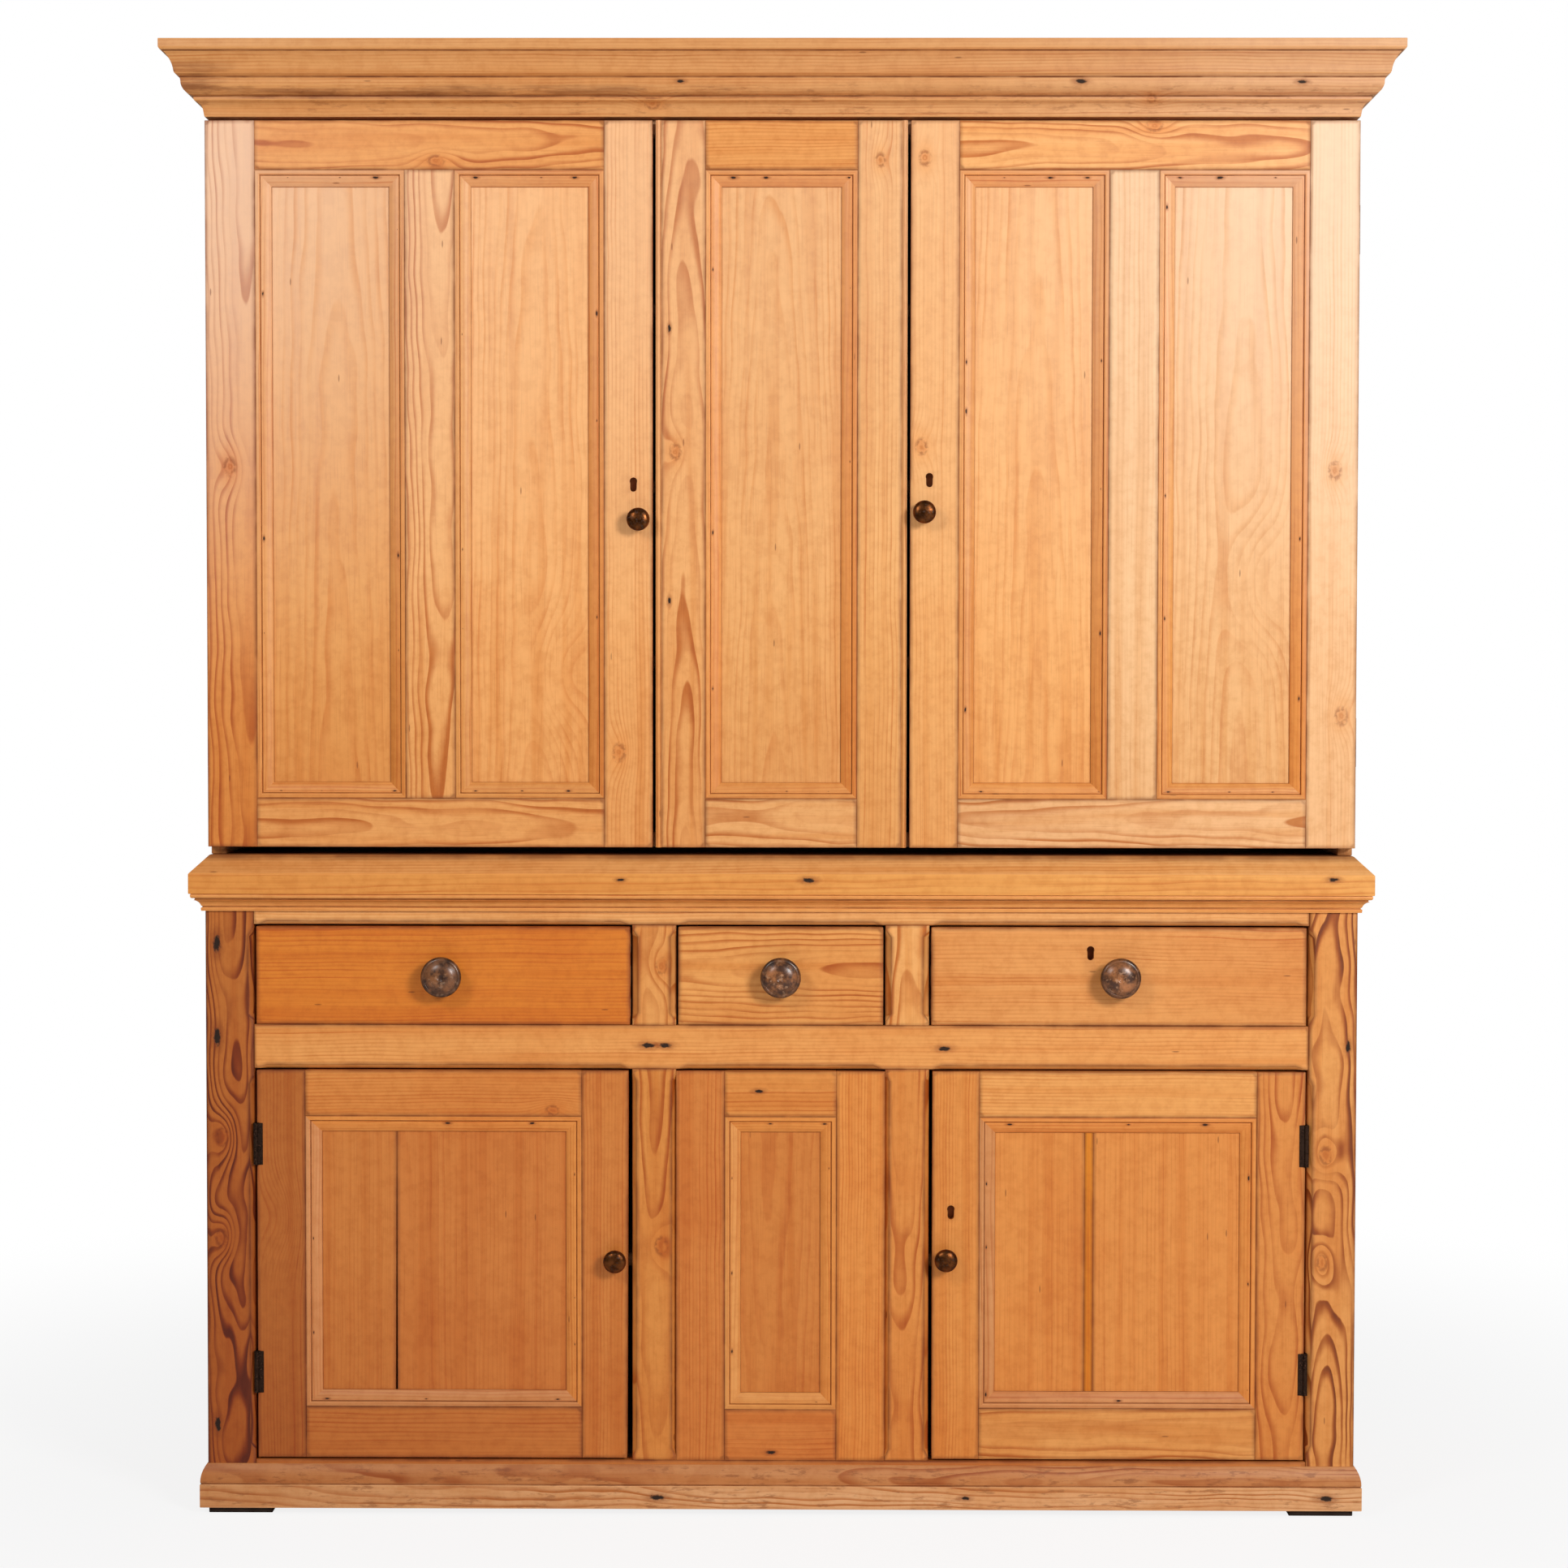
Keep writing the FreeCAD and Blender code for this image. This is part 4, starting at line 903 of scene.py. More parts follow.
class PineShader:
    """The nodes of a pine material, added in the order in which the wood came by its looks.

    Heights and widths in its masks are metres of the frame.
    """

    def __init__(self, nodes: Nodes, finish: PineFinish) -> None:
        """Read what the points carry.

        Args:
            nodes: The material's nodes.
            finish: The finish that they show.
        """
        self.nodes = nodes
        self.finish = finish
        self.grain = nodes.parts(nodes.attribute("grain"))
        self.contrast, self.spacing, self.warp = nodes.parts(nodes.attribute("figure"))
        self.wave, self.sheen, _ = nodes.parts(nodes.attribute("habit"))
        self.tone = nodes.attribute("tone")
        self.shade = self.tone
        self.mark = nodes.attribute("mark", "Fac")

    def build(self) -> None:
        """Add all the nodes."""
        self.rings()
        self.bare_wood()
        self.age()
        self.flaws()
        self.surface()

    def stain(self, share: Number, stain: Stain, fresh: bool = False) -> None:
        """Blend a stain in, over the wood as it is or over fresh wood."""
        self.shade = self.nodes.stain(share, self.shade, stain.value, self.tone if fresh else None)

    def knot(self, name: str) -> tuple[Socket, Socket, Socket, Socket]:
        """Work out a knot's part in the wood.

        With du along and dv across from its middle and r its radius, the rings bow out by
        1.7 r times e to the minus of (du / 4.1 r) squared plus (dv / 2.2 r) squared.

        Args:
            name: The value that holds the knot.

        Returns:
            The bow, the shade round the knot, its core and its dark rim.
        """
        nodes, (u, v, _) = self.nodes, self.grain
        place, side, size = nodes.parts(nodes.attribute(name))
        radius = size.math("ABSOLUTE")
        cored = size.math("GREATER_THAN", 0.0)
        du, dv = (u - place) / radius, (v - side) / radius
        near = (du * du * 0.06 + dv * dv * 0.20) * -1.0
        reach = near.math("EXPONENT")
        ragged = nodes.noise(nodes.vector(u * 130.0, v * 130.0, place))
        far = (du * du * 0.50 + dv * dv).math("SQRT") + (ragged - 0.5) * 0.9
        rings = (far * 9.0).math("SINE") * 0.3 + 0.7
        core = far.fall(0.40, 1.05) * rings * cored
        rim = far.band(0.55, 0.90, 0.95, 1.45) * ragged.smooth(0.35, 0.6) * cored
        return reach * radius * 1.7, reach * (cored * 0.6 + 0.4), core, rim

    def rings(self) -> None:
        """Draw the year rings.

        The rings are the steps of the distance from the pith, bent by slow noise and by the
        knots, over the spacing. Late wood rises slowly through a ring and ends sharply.
        """
        nodes, grain = self.nodes, self.grain
        _, v, w = grain
        self.knots = [self.knot(name) for name in ("knot_a", "knot_b")]
        slow = nodes.stretched(grain, (1.5, 8.0, 8.0)) - 0.5
        quick = nodes.stretched(grain, (8.0, 50.0, 50.0)) - 0.5
        swell = nodes.stretched(grain, (7.5, 17.0, 17.0), 1.0) - 0.5
        reach = (v * v + w * w).math("SQRT")
        reach = reach + slow * self.warp + swell * self.wave + quick * self.warp * 0.15
        for bow, *_ in self.knots:
            reach = reach + bow
        turns = reach / self.spacing
        year = turns.math("FLOOR")
        phase = turns - year
        vigour = nodes.add("ShaderNodeTexWhiteNoise", {"noise_dimensions": "1D"}, {"W": year})
        fade = nodes.stretched(grain, (4.0, 28.0, 28.0)).smooth(0.30, 0.64)
        self.late = phase.band(0.42, 0.90, 0.91, 1.0) * (vigour * 0.75 + 0.25) * (fade * 0.8 + 0.2)
        self.fibre = nodes.stretched(grain, (9.0, 480.0, 480.0), 3.0)
        self.streak = nodes.stretched(grain, (0.8, 60.0, 60.0))

    def bare_wood(self) -> None:
        """Colour the wood by its rings, streaks, fibres and clouds."""
        nodes = self.nodes
        here = nodes.add("ShaderNodeTexCoord", output="Object")
        patch = nodes.noise(here, 4.2, 3.0, 0.55)
        self.blotch = nodes.noise(here, 17.0, 3.0, 0.6)
        mottle = nodes.noise(here, 58.0, 4.0, 0.62)
        self.shade = nodes.stain(self.late * self.contrast, self.tone, self.finish.ring_tint)
        self.stain((self.contrast - 1.0).math("MAXIMUM", 0.0) * self.late, Stain.DARK_RING, True)
        self.stain(self.streak.smooth(0.44, 0.72) * 0.72, Stain.STREAK)
        self.stain(self.fibre.smooth(0.48, 0.78) * 0.42, Stain.FIBRE)
        self.stain(mottle.smooth(0.47, 0.64) * 0.40, Stain.MOTTLE)
        self.stain(mottle.fall(0.34, 0.50) * 0.40, Stain.PALE_MOTTLE)
        self.place = nodes.parts(here)
        soiled = 0.85 - self.place[2].smooth(0.70, 1.05) * 0.42
        self.stain(patch.smooth(0.45, 0.72) * soiled, Stain.PATCH)
        self.stain(self.blotch.smooth(0.52, 0.76) * 0.34, Stain.HAZE)

    def age(self) -> None:
        """Paint sheen on the upper and outer wood, less of it on the left of the cornice, and paint shade low
        on the upper stage, low on the left and on the lower posts.
        """
        nodes, (x, _, z) = self.nodes, self.place
        # Painted sheen: the upper and outer wood is paled towards a sheen colour, more on the right, standing
        # in for light and lamp reflection.
        outer = x.math("ABSOLUTE").smooth(0.22, 0.86) * 0.62 + 0.32
        # Less painted sheen on the left of the cornice, which is painted as shaded.
        shaded = z.smooth(2.064, 2.070) * x.fall(-0.5, 0.7)
        painted_sheen = z.smooth(1.12, 2.08) * outer * (x.smooth(-0.7, 0.7) * 0.20 + 0.84 - shaded * 0.84)
        painted_sheen = painted_sheen * self.sheen * (1 - self.late * 0.55)
        self.shade = nodes.mix(painted_sheen, self.shade, nodes.mix(0.35, self.finish.sheen, self.shade))
        # Painted shade: the foot of the upper stage, the low left and the lower corner posts are darkened,
        # more on the left, where less light falls.
        low_upper_shade = z.band(0.97, 1.0, 1.04, 1.42) * (1 - x.smooth(0.0, 0.8) * 0.5)
        low_left_shade = x.fall(-0.90, 0.20) * z.fall(0.06, 0.45)
        corner = x.math("ABSOLUTE").smooth(0.775, 0.785) * z.smooth(0.074, 0.080) * z.fall(0.42, 0.80)
        low_left_shade = low_left_shade + corner * (1.15 - x.smooth(-0.1, 0.1) * 0.65)
        self.stain(low_upper_shade * 0.45 + low_left_shade * 0.66, Stain.PAINTED_LOW_SHADE)

    def flaws(self) -> None:
        """Add the knots, nicks in the plinth and cornice, grime and painted shade under the cornice, specks
        and nail holes.
        """
        nodes, (u, v, _), (x, _, z) = self.nodes, self.grain, self.place
        (_, near_a, core_a, rim_a), (_, near_b, core_b, rim_b) = self.knots
        self.stain((near_a + near_b).smooth(0.10, 1.3) * 0.50, Stain.NEAR_KNOT, True)
        self.stain((core_a + core_b) * 0.70, Stain.KNOT, True)
        self.stain((rim_a + rim_b) * 0.60, Stain.KNOT_RIM, True)
        lay = nodes.vector(u * 7.0, v * 36.0, 0.0)
        speck = nodes.cells(lay)
        rare = nodes.add("ShaderNodeSeparateColor", inputs={0: nodes.cells(lay, "Color")})
        specks = speck.fall(0.02, 0.05) * rare.smooth(0.93, 0.95)
        self.hole, rust = 0.0, 0.0
        for letter in "abc":
            dark, ring = self.nail_hole(f"hole_{letter}")
            self.hole, rust = dark + self.hole, ring + rust
        battered = z.fall(0.066, 0.080) + z.band(2.068, 2.072, 2.098, 2.120) * 0.7
        nick = nodes.stretched(self.place, (34.0, 34.0, 130.0), 4.0, 0.66).smooth(0.53, 0.68)
        self.stain(nick * battered * 0.60, Stain.NICK, True)
        # Grime and painted shade in a streaky band on the downward faces of the cornice, more on the left and
        # at its left mitre.
        hollow = z.band(2.088, 2.096, 2.104, 2.112) * (1 - x.smooth(-0.50, 0.30) * 0.8)
        mitre = x.fall(-0.86, -0.76) * z.smooth(2.098, 2.112) * z.fall(2.128, 2.150)
        cornice_streaks = nodes.stretched(self.place, (7.0, 7.0, 70.0), 4.0, 0.60).smooth(0.36, 0.60)
        self.stain((hollow + mitre) * cornice_streaks * 0.80, Stain.GRIME_AND_SHADE)
        self.stain(specks * 0.6, Stain.SPECK, True)
        self.stain(rust * 0.60, Stain.NAIL_RUST, True)
        self.shade = nodes.mix(self.hole * 0.97, self.shade, self.finish.HOLE)

    def nail_hole(self, name: str) -> tuple[Socket, Socket]:
        """Darken a small hole that is longer along the grain, and the wood round it.

        Args:
            name: The value that holds the hole.

        Returns:
            The hole and the stain round it, each one inside and nought outside.
        """
        nodes, (u, v, _) = self.nodes, self.grain
        place, side, radius = nodes.parts(nodes.attribute(name))
        du, dv = (u - place) / radius, (v - side) / radius
        ragged = nodes.noise(nodes.vector(u * 170.0, v * 300.0, place)) - 0.5
        far = (du * du * 0.16 + dv * dv).math("SQRT") + ragged * 1.1
        return far.fall(0.55, 1.05), far.fall(0.7, 2.4)

    def surface(self) -> None:
        """Wear the edges, darken edges and hollows with grime and painted shade, dust the wood, and give it
        its gloss and relief.
        """
        nodes, finish, blotch = self.nodes, self.finish, self.blotch
        worn = self.mark.smooth(0.15, 1.0) * (blotch * 0.7 + 0.15)
        # Grime and painted shade where the mark is below nought.
        dirt_and_shade = (self.mark * -1.0).smooth(0.08, 1.0) * (blotch.smooth(0.30, 0.62) * 0.45 + 0.50)
        self.stain(worn, Stain.RUBBED, True)
        self.stain(dirt_and_shade, Stain.DIRT_AND_SHADE, True)
        if finish.dust:
            self.shade = nodes.mix(blotch.smooth(0.35, 0.75) * finish.dust, self.shade, finish.DUST)
        height = self.fibre * 0.35 + self.late * self.contrast * -0.4 + self.hole * -2.0 + blotch * 0.15
        rough = blotch * 0.14 + (finish.roughness - 0.07) + dirt_and_shade * 0.35 + self.hole * 0.4 - worn * 0.05
        nodes.surface({
            "Base Color": self.shade,
            "Roughness": rough,
            "Specular IOR Level": 0.32,
            "Coat Weight": finish.coat,
            "Coat Roughness": 0.42,
            "Normal": nodes.bump(height, 0.0006, 0.35),
        })


@dataclass(frozen=True)
class KnobGlaze:
    """A glossy mottled brown drawer knob."""

    slot: str = "turned_knob"

    BROWN = (0.036, 0.011, 0.003)
    CLOUD = (0.250, 0.092, 0.029)
    VEIN = (0.44, 0.25, 0.14)
    GRIT = (0.018, 0.006, 0.002)
    RIM_SHADE = (0.22, 0.18, 0.15)
    CROWN_HIGHLIGHT = (1.9, 1.9, 1.9)

    def material(self) -> bpy.types.Material:
        """Write the material: brown with paler clouds, painted shade at the rim, a painted highlight on the
        crown of the middle and right knobs, and a polished skin.

        Returns:
            The material.
        """
        material, nodes = new_material(self.slot)
        here = nodes.add("ShaderNodeTexCoord", output="Object")
        cloud = nodes.noise(here, 55.0, 4.0, 0.62)
        grit = nodes.noise(here, 260.0, 3.0, 0.6)
        vein = nodes.noise(here, 120.0, 2.0, 0.5)
        shade = nodes.mix(cloud.smooth(0.36, 0.66), self.BROWN, self.CLOUD)
        shade = nodes.mix(vein.smooth(0.56, 0.70) * 0.4, shade, self.VEIN)
        shade = nodes.mix(grit.smooth(0.58, 0.72) * 0.5, shade, self.GRIT)
        across, depth, _ = nodes.parts(here)
        # Painted shade darkens each knob towards its rim; a painted highlight pales the crown of the middle
        # and right knobs.
        crown = (depth * -1.0).smooth(0.268, 0.2805)
        shade = nodes.stain((1 - crown) * 0.80, shade, self.RIM_SHADE)
        paler = across.smooth(-0.3, -0.1)
        shade = nodes.stain(crown * paler * 0.85, shade, self.CROWN_HIGHLIGHT)
        nodes.surface({
            "Base Color": shade,
            "Roughness": cloud * 0.20 + 0.24,
            "Specular IOR Level": 0.20,
            "Coat Weight": 0.65,
            "Coat Roughness": 0.27,
            "Normal": nodes.bump(cloud, 0.0006, 0.10),
        })
        return material


@dataclass(frozen=True)
class MetalFinish:
    """Old metal with a dull skin, bright where it is rubbed and rusty or dark elsewhere."""

    slot: str
    bright: Colour
    dull: Colour
    crust: Colour
    roughness: float
    metal: float

    def material(self) -> bpy.types.Material:
        """Write the material.

        Returns:
            The material.
        """
        material, nodes = new_material(self.slot)
        here = nodes.add("ShaderNodeTexCoord", output="Object")
        cloud = nodes.noise(here, 70.0, 4.0, 0.6)
        grit = nodes.noise(here, 420.0, 3.0, 0.6)
        shade = nodes.mix(cloud.smooth(0.40, 0.66), self.dull, self.bright)
        rust = grit.smooth(0.50, 0.68) * cloud.fall(0.40, 0.60)
        shade = nodes.mix(rust, shade, self.crust)
        nodes.surface({
            "Base Color": shade,
            "Metallic": (1 - rust) * self.metal,
            "Roughness": grit * 0.22 + (self.roughness - 0.11) + rust * 0.25,
            "Normal": nodes.bump(grit, 0.0005, 0.25),
        })
        return material


WAXED = PineFinish("waxed_pine", roughness=0.46, coat=0.10, ring_tint=(0.76, 0.47, 0.21), dust=0.0)
PLAIN = PineFinish("plain_pine", roughness=0.72, coat=0.0, ring_tint=(0.82, 0.62, 0.42), dust=0.30)
# Dull finish for the feet, which carry painted shadow.
DARK = PineFinish("dark_pine", roughness=0.70, coat=0.0, ring_tint=(0.70, 0.55, 0.40), dust=0.10)
GLAZE = KnobGlaze()
BRASS = MetalFinish("brass", bright=(0.19, 0.062, 0.018), dull=(0.062, 0.019, 0.005),
                    crust=(0.030, 0.011, 0.004), roughness=0.32, metal=1.0)
IRON = MetalFinish("iron", bright=(0.046, 0.024, 0.015), dull=(0.020, 0.010, 0.006),
                   crust=(0.085, 0.030, 0.011), roughness=0.66, metal=0.90)
Finish = PineFinish | KnobGlaze | MetalFinish


class Workshop:
    """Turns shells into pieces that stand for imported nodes."""

    FINISHES = (WAXED, PLAIN, DARK, GLAZE, BRASS, IRON)
    SHARP_DEGREES = 32.0

    def __init__(self) -> None:
        """Write the materials and note the body of each node."""
        self.materials = {finish.slot: finish.material() for finish in self.FINISHES}
        bodies = frame["record"]["behaviour"]["bodies"]
        self.body = {node: body for body, nodes in bodies.items() for node in nodes}

    def mesh(self, name: str, shell: Shell) -> bpy.types.Mesh:
        """Put a shell into a mesh, in metres of the frame.

        Args:
            name: The mesh's name.
            shell: The surface.

        Returns:
            The mesh.
        """
        mesh = bpy.data.meshes.new(name)
        points = (shell.points + np.array([0.0, FRONT_PLANE, 0.0])) * MM
        mesh.vertices.add(len(points))
        mesh.vertices.foreach_set("co", points.astype(np.float32).ravel())
        mesh.loops.add(len(shell.corners))
        mesh.loops.foreach_set("vertex_index", shell.corners.astype(np.int32))
        mesh.polygons.add(len(shell.sizes))
        mesh.polygons.foreach_set("loop_start", (np.cumsum(shell.sizes) - shell.sizes).astype(np.int32))
        mesh.polygons.foreach_set("use_smooth", np.ones(len(shell.sizes), bool))
        mesh.update(calc_edges=True)
        mesh.validate()
        for key, rows in shell.values.items():
            flat = rows.ndim == 1
            layer = mesh.attributes.new(key, "FLOAT" if flat else "FLOAT_VECTOR", "POINT")
            layer.data.foreach_set("value" if flat else "vector", rows.astype(np.float32).ravel())
        mesh.set_sharp_from_angle(angle=math.radians(self.SHARP_DEGREES))
        return mesh

    def piece(self, node: str, shells: list[Shell], finish: Finish, label: str = "",
              added: bool = False) -> None:
        """Make a piece that moves with a node's body, and stands for the node or is added to it.

        Args:
            node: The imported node.
            shells: The piece's surfaces.
            finish: Its finish.
            label: The piece's own name where it isn't the node's.
            added: Whether the node stays beside the piece.
        """
        name = f"{finish.slot}.{label or node}"
        thing = bpy.data.objects.new(name, self.mesh(name, Shell.joined(shells)))
        thing.data.materials.append(self.materials[finish.slot])
        bpy.context.scene.collection.objects.link(thing)
        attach(thing, self.body[node])
        if not added:
            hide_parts(node)
        log.info("%s: %d faces", name, len(thing.data.polygons))

    def keep(self, node: str, finish: Finish) -> None:
        """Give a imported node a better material.

        Args:
            node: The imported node.
            finish: Its finish.
        """
        for slot in frame["nodes"][node].material_slots:
            slot.material = self.materials[finish.slot]
        log.info("%s: kept with %s", node, finish.slot)


def sides(hand: int, inner: float, outer: float) -> Span:
    """Order a span from the middle line outwards on one hand of the press."""
    return (hand * inner, hand * outer) if hand > 0 else (hand * outer, hand * inner)


PANEL_SECTION = outline([(0, 0), (24, 0), (24, 1.8, 26), (8.6, 7.4), (8.2, 6.2), (7.2, 6.2), (7.0, 9.2),
                         (6.0, 10.0), (0, 10.0)], 0.5, 1.9)
CORNICE_SECTION = outline([
    (0, 0), (36, 0), (37.7, 10.3, -12.4), (47.2, 20.6), (49.4, 22.7), (49.4, 27.8, 18.5), (65.1, 47.4),
    (66.2, 52.5), (72.4, 56.7), (73.5, 59.7, -43.3), (86.4, 86.5), (90.3, 87.6), (92, 90.6), (92, 103),
    (0, 103)], 1.0)
BED_SECTION = outline([(-6, 0), (5.0, 0), (5.5, 4.8), (3.4, 5.4), (3.4, 7.0), (5.0, 7.6, -12), (14.6, 16.6),
                       (12.8, 17.4), (12.8, 19.2), (17.2, 19.8, 4.4), (17.8, 26), (-6, 26)], 0.6)
PLINTH_SECTION = outline([(0, 0), (10.5, 0), (10.5, 34.4), (9.0, 35.2), (9.0, 36.4), (10.0, 37.4, 44),
                          (1.2, 64.4), (0, 65)], 1.4)
BEAD_SECTION = outline([(0, 0), (8, 0), (8, 21.2), (6.6, 21.2), (6.4, 22.2, 3.4), (1.6, 22.2), (1.4, 21.2),
                        (0, 21.2)], 0.4)
TAIL_SECTION = outline([(0, -11), (14, -15), (14, 15), (0, 11)], 0.4)
ROUGH_SAWN = Timber(Tone.SAWN, Figure.STRAIGHT)


@dataclass(frozen=True)
class FramedFront:
    """A frame of stiles and rails round one or two panels with planted mouldings."""

    x: Span
    z: Span
    stile: float
    rails: Span
    muntin: Span | None = None
    woods: dict[str, Timber] = field(default_factory=dict)
    cuts: dict[str, tuple[Chamfer, ...]] = field(default_factory=dict)
    keyholes: dict[str, Span] = field(default_factory=dict)
    back: float = BOARD
    shrunk: Span = (0.0, 0.0)
    splits: tuple[tuple[float, float, Tone], ...] = ()
    # The lighter tone goes to the foot and left mouldings and the darker to the head and right ones: lit and
    # shaded copies of one wood, painted light and shade.
    mouldings: tuple[Tone, Tone] = (Tone.GOLD, Tone.AMBER)
    sag: float = 0.0

    EDGE = 0.7
    FACE = 11.0
    PANEL_EDGE = 0.4
    PANEL_THICK = 7.0
    PANEL_LAP = 6.0
    NAILS = np.array([0.17, 0.50, 0.82])
    NAIL_INSET = 11
    HEAD_NAILS = 1.4

    @property
    def opening(self) -> Span:
        """Height of the panels' opening."""
        return self.z[0] + self.rails[0], self.z[1] - self.rails[1]

    @property
    def bays(self) -> list[Span]:
        """Widths of the panels' openings."""
        left, right = self.x[0] + self.stile, self.x[1] - self.stile
        return [(left, self.muntin[0]), (self.muntin[1], right)] if self.muntin else [(left, right)]

    def board(self, name: str, x: Span, z: Span, along: Axis, taper: float = 0.0) -> Shell:
        """Make one board of the frame."""
        return Board(x, (0.0, self.back), z, along, Axis.D, self.woods[name], self.EDGE,
                     self.cuts.get(name, ()), self.keyholes.get(name), taper).shell()

    def frame(self) -> list[Shell]:
        """Make the stiles, the rails and the muntin.

        Returns:
            Their shells.
        """
        low, high = self.opening
        left, right = self.x[0] + self.stile, self.x[1] - self.stile
        shells = [
            self.board("left_stile", (self.x[0] + self.shrunk[0], left), self.z, Axis.Z),
            self.board("right_stile", (right, self.x[1] - self.shrunk[1]), self.z, Axis.Z, self.sag),
            self.board("foot_rail", (left, right), (self.z[0], low), Axis.X),
            self.board("head_rail", (left, right), (high, self.z[1]), Axis.X),
        ]
        if self.muntin:
            shells.append(self.board("muntin", self.muntin, (low, high), Axis.Z))
        return shells

    def panels(self) -> list[Shell]:
        """Make the panels and their mouldings.

        A panel that has split is several boards side by side, with a gap that widens downwards.

        Returns:
            Their shells.
        """
        low, high = self.opening
        shells = []
        for index, (left, right) in enumerate(self.bays):
            timber = self.woods[f"panel_{index}"]
            start = left - self.PANEL_LAP
            for at, gap, tone in self.splits:
                shells.append(self.panel_board((start, at), timber, gap))
                start = at
                timber = replace(timber, tone=tone)
            shells.append(self.panel_board((start, right + self.PANEL_LAP), timber, 0.0))
            # Painted light and shade: the foot and left mouldings take the lighter tone, the head and right
            # mouldings the darker.
            light, dark = self.mouldings
            shells += [
                self.moulding((left, low), (right, low), UP, light),
                self.moulding((left, high), (right, high), (0, 0, -1), dark),
                self.moulding((left, low), (left, high), (1, 0, 0), light),
                self.moulding((right, low), (right, high), (-1, 0, 0), dark),
            ]
        return shells

    def moulding(self, start: Span, end: Span, across: Point, tone: Tone) -> Shell:
        """Make one nailed length of the moulding round a panel.

        Args:
            start: Its x and z at one end.
            end: Its x and z at the other end.
            across: The direction from the frame into the panel.
            tone: Its colour, lighter where it is painted as lit and darker where it is painted as shaded.

        Returns:
            The shell.
        """
        chance = np.random.default_rng(int(abs(start[0]) + start[1] + 7 * end[0] + 3e4))
        shares = self.NAILS + chance.uniform(-0.13, 0.13, len(self.NAILS))
        sizes = chance.uniform(0.1, 1.6, len(self.NAILS)) * (self.HEAD_NAILS if across[2] < 0 else 1.0)
        nails = tuple(
            Spot(start[0] + (end[0] - start[0]) * share + across[0] * self.NAIL_INSET,
                 start[1] + (end[1] - start[1]) * share + across[2] * self.NAIL_INSET, size)
            for share, size in zip(shares, sizes))
        return Strip(PANEL_SECTION, (start[0], self.FACE, start[1]), (end[0], self.FACE, end[1]), across,
                     FORWARD, (1.0, -1.0), Timber(tone, Figure.STRAIGHT, holes=nails, sheen=0.6)).shell()

    def panel_board(self, x: Span, timber: Timber, gap: float) -> Shell:
        """Make one board of a panel."""
        low, high = self.opening[0] - self.PANEL_LAP, self.opening[1] + self.PANEL_LAP
        return Board(x, (self.FACE, self.FACE + self.PANEL_THICK), (low, high), Axis.Z, Axis.D, timber,
                     self.PANEL_EDGE, taper=gap).shell()


DOOR_KNOB = rounded([(0.3, -2), (10.6, -2), (11.2, -0.4), (11.6, 1.2), (10.8, 2.6), (8.8, 3.6), (7.9, 6),
                     (7.7, 9), (8.6, 12), (11.6, 14.4), (15.0, 17.0), (16.7, 19.8), (17, 22), (16.2, 24.8),
                     (13.6, 27.3), (9.5, 29.0), (5, 29.8), (0.3, 30)])
SPINDLE = rounded([(0.2, -29.6), (3.2, -29.4), (4.0, -28.6), (4.0, -20.0), (0.2, -20.0)], 3)
DRAWER_KNOB = rounded([(0.3, -2), (14.8, -2), (15.6, -0.4), (16.2, 1.2), (15.6, 2.8), (14.0, 4.4), (13.5, 8),
                       (14.2, 13), (17.0, 17.4), (22, 20.6), (27, 22.6), (29.4, 24.6), (30, 27), (29.2, 29.7),
                       (27.2, 31.5), (25.2, 32.1), (24.4, 31.7), (23.2, 32.5), (18, 35.4), (12, 37.2),
                       (6.5, 37.9), (4.4, 37.5), (3.2, 36.6), (1.5, 36.2), (0.3, 36.1)])


@dataclass(frozen=True)
class Assembly:
    """A sub-assembly of the press and the workshop that makes its pieces."""

    shop: Workshop


@dataclass(frozen=True)
class Door(Assembly):
    """A hung door with its panels, knob, latch tongue and hinge plates."""

    name: str
    front: FramedFront
    knob: Span
    plates: tuple[float, ...] = ()

    TONGUE_D = (24, 27)
    TONGUE_HALF = 7
    TONGUE_DROP = 38
    PLATE_X = (769.0, 776.6)
    PLATE_D = (-0.9, 0.5)
    PLATE_HALF = 31

    def build(self) -> None:
        """Make the door's pieces."""
        self.shop.piece(f"{self.name}_door_frame", self.front.frame(), WAXED)
        self.shop.piece(f"{self.name}_door_panels", self.front.panels(), WAXED)
        ironwork, knob, bolt = (f"{self.name}_{end}" for end in ("door_ironwork", "knob", "lock_bolt"))
        self.shop.keep(ironwork, IRON)
        x, z = self.knob
        self.shop.piece(knob, [Turning(DOOR_KNOB, x, 0.0, z).shell()], BRASS)
        half = self.TONGUE_HALF
        tongue = Board((x - half, x + half), self.TONGUE_D, (z - self.TONGUE_DROP, z + half), Axis.Z, Axis.D,
                       edge=0.8)
        spindle = Turning(SPINDLE, x, 0.0, z, sides=24)
        self.shop.piece(knob, [tongue.shell(), spindle.shell()], IRON, label=f"{self.name}_tongue")
        if self.plates:
            reach = sides(1 if x > 0 else -1, *self.PLATE_X)
            spans = [(height - self.PLATE_HALF, height + self.PLATE_HALF) for height in self.plates]
            shells = [Board(reach, self.PLATE_D, span, Axis.Z, Axis.D, edge=0.4).shell() for span in spans]
            self.shop.piece(ironwork, shells, IRON, label=f"{self.name}_hinge_plates", added=True)
        if bolt in self.shop.body:
            self.shop.keep(bolt, IRON)


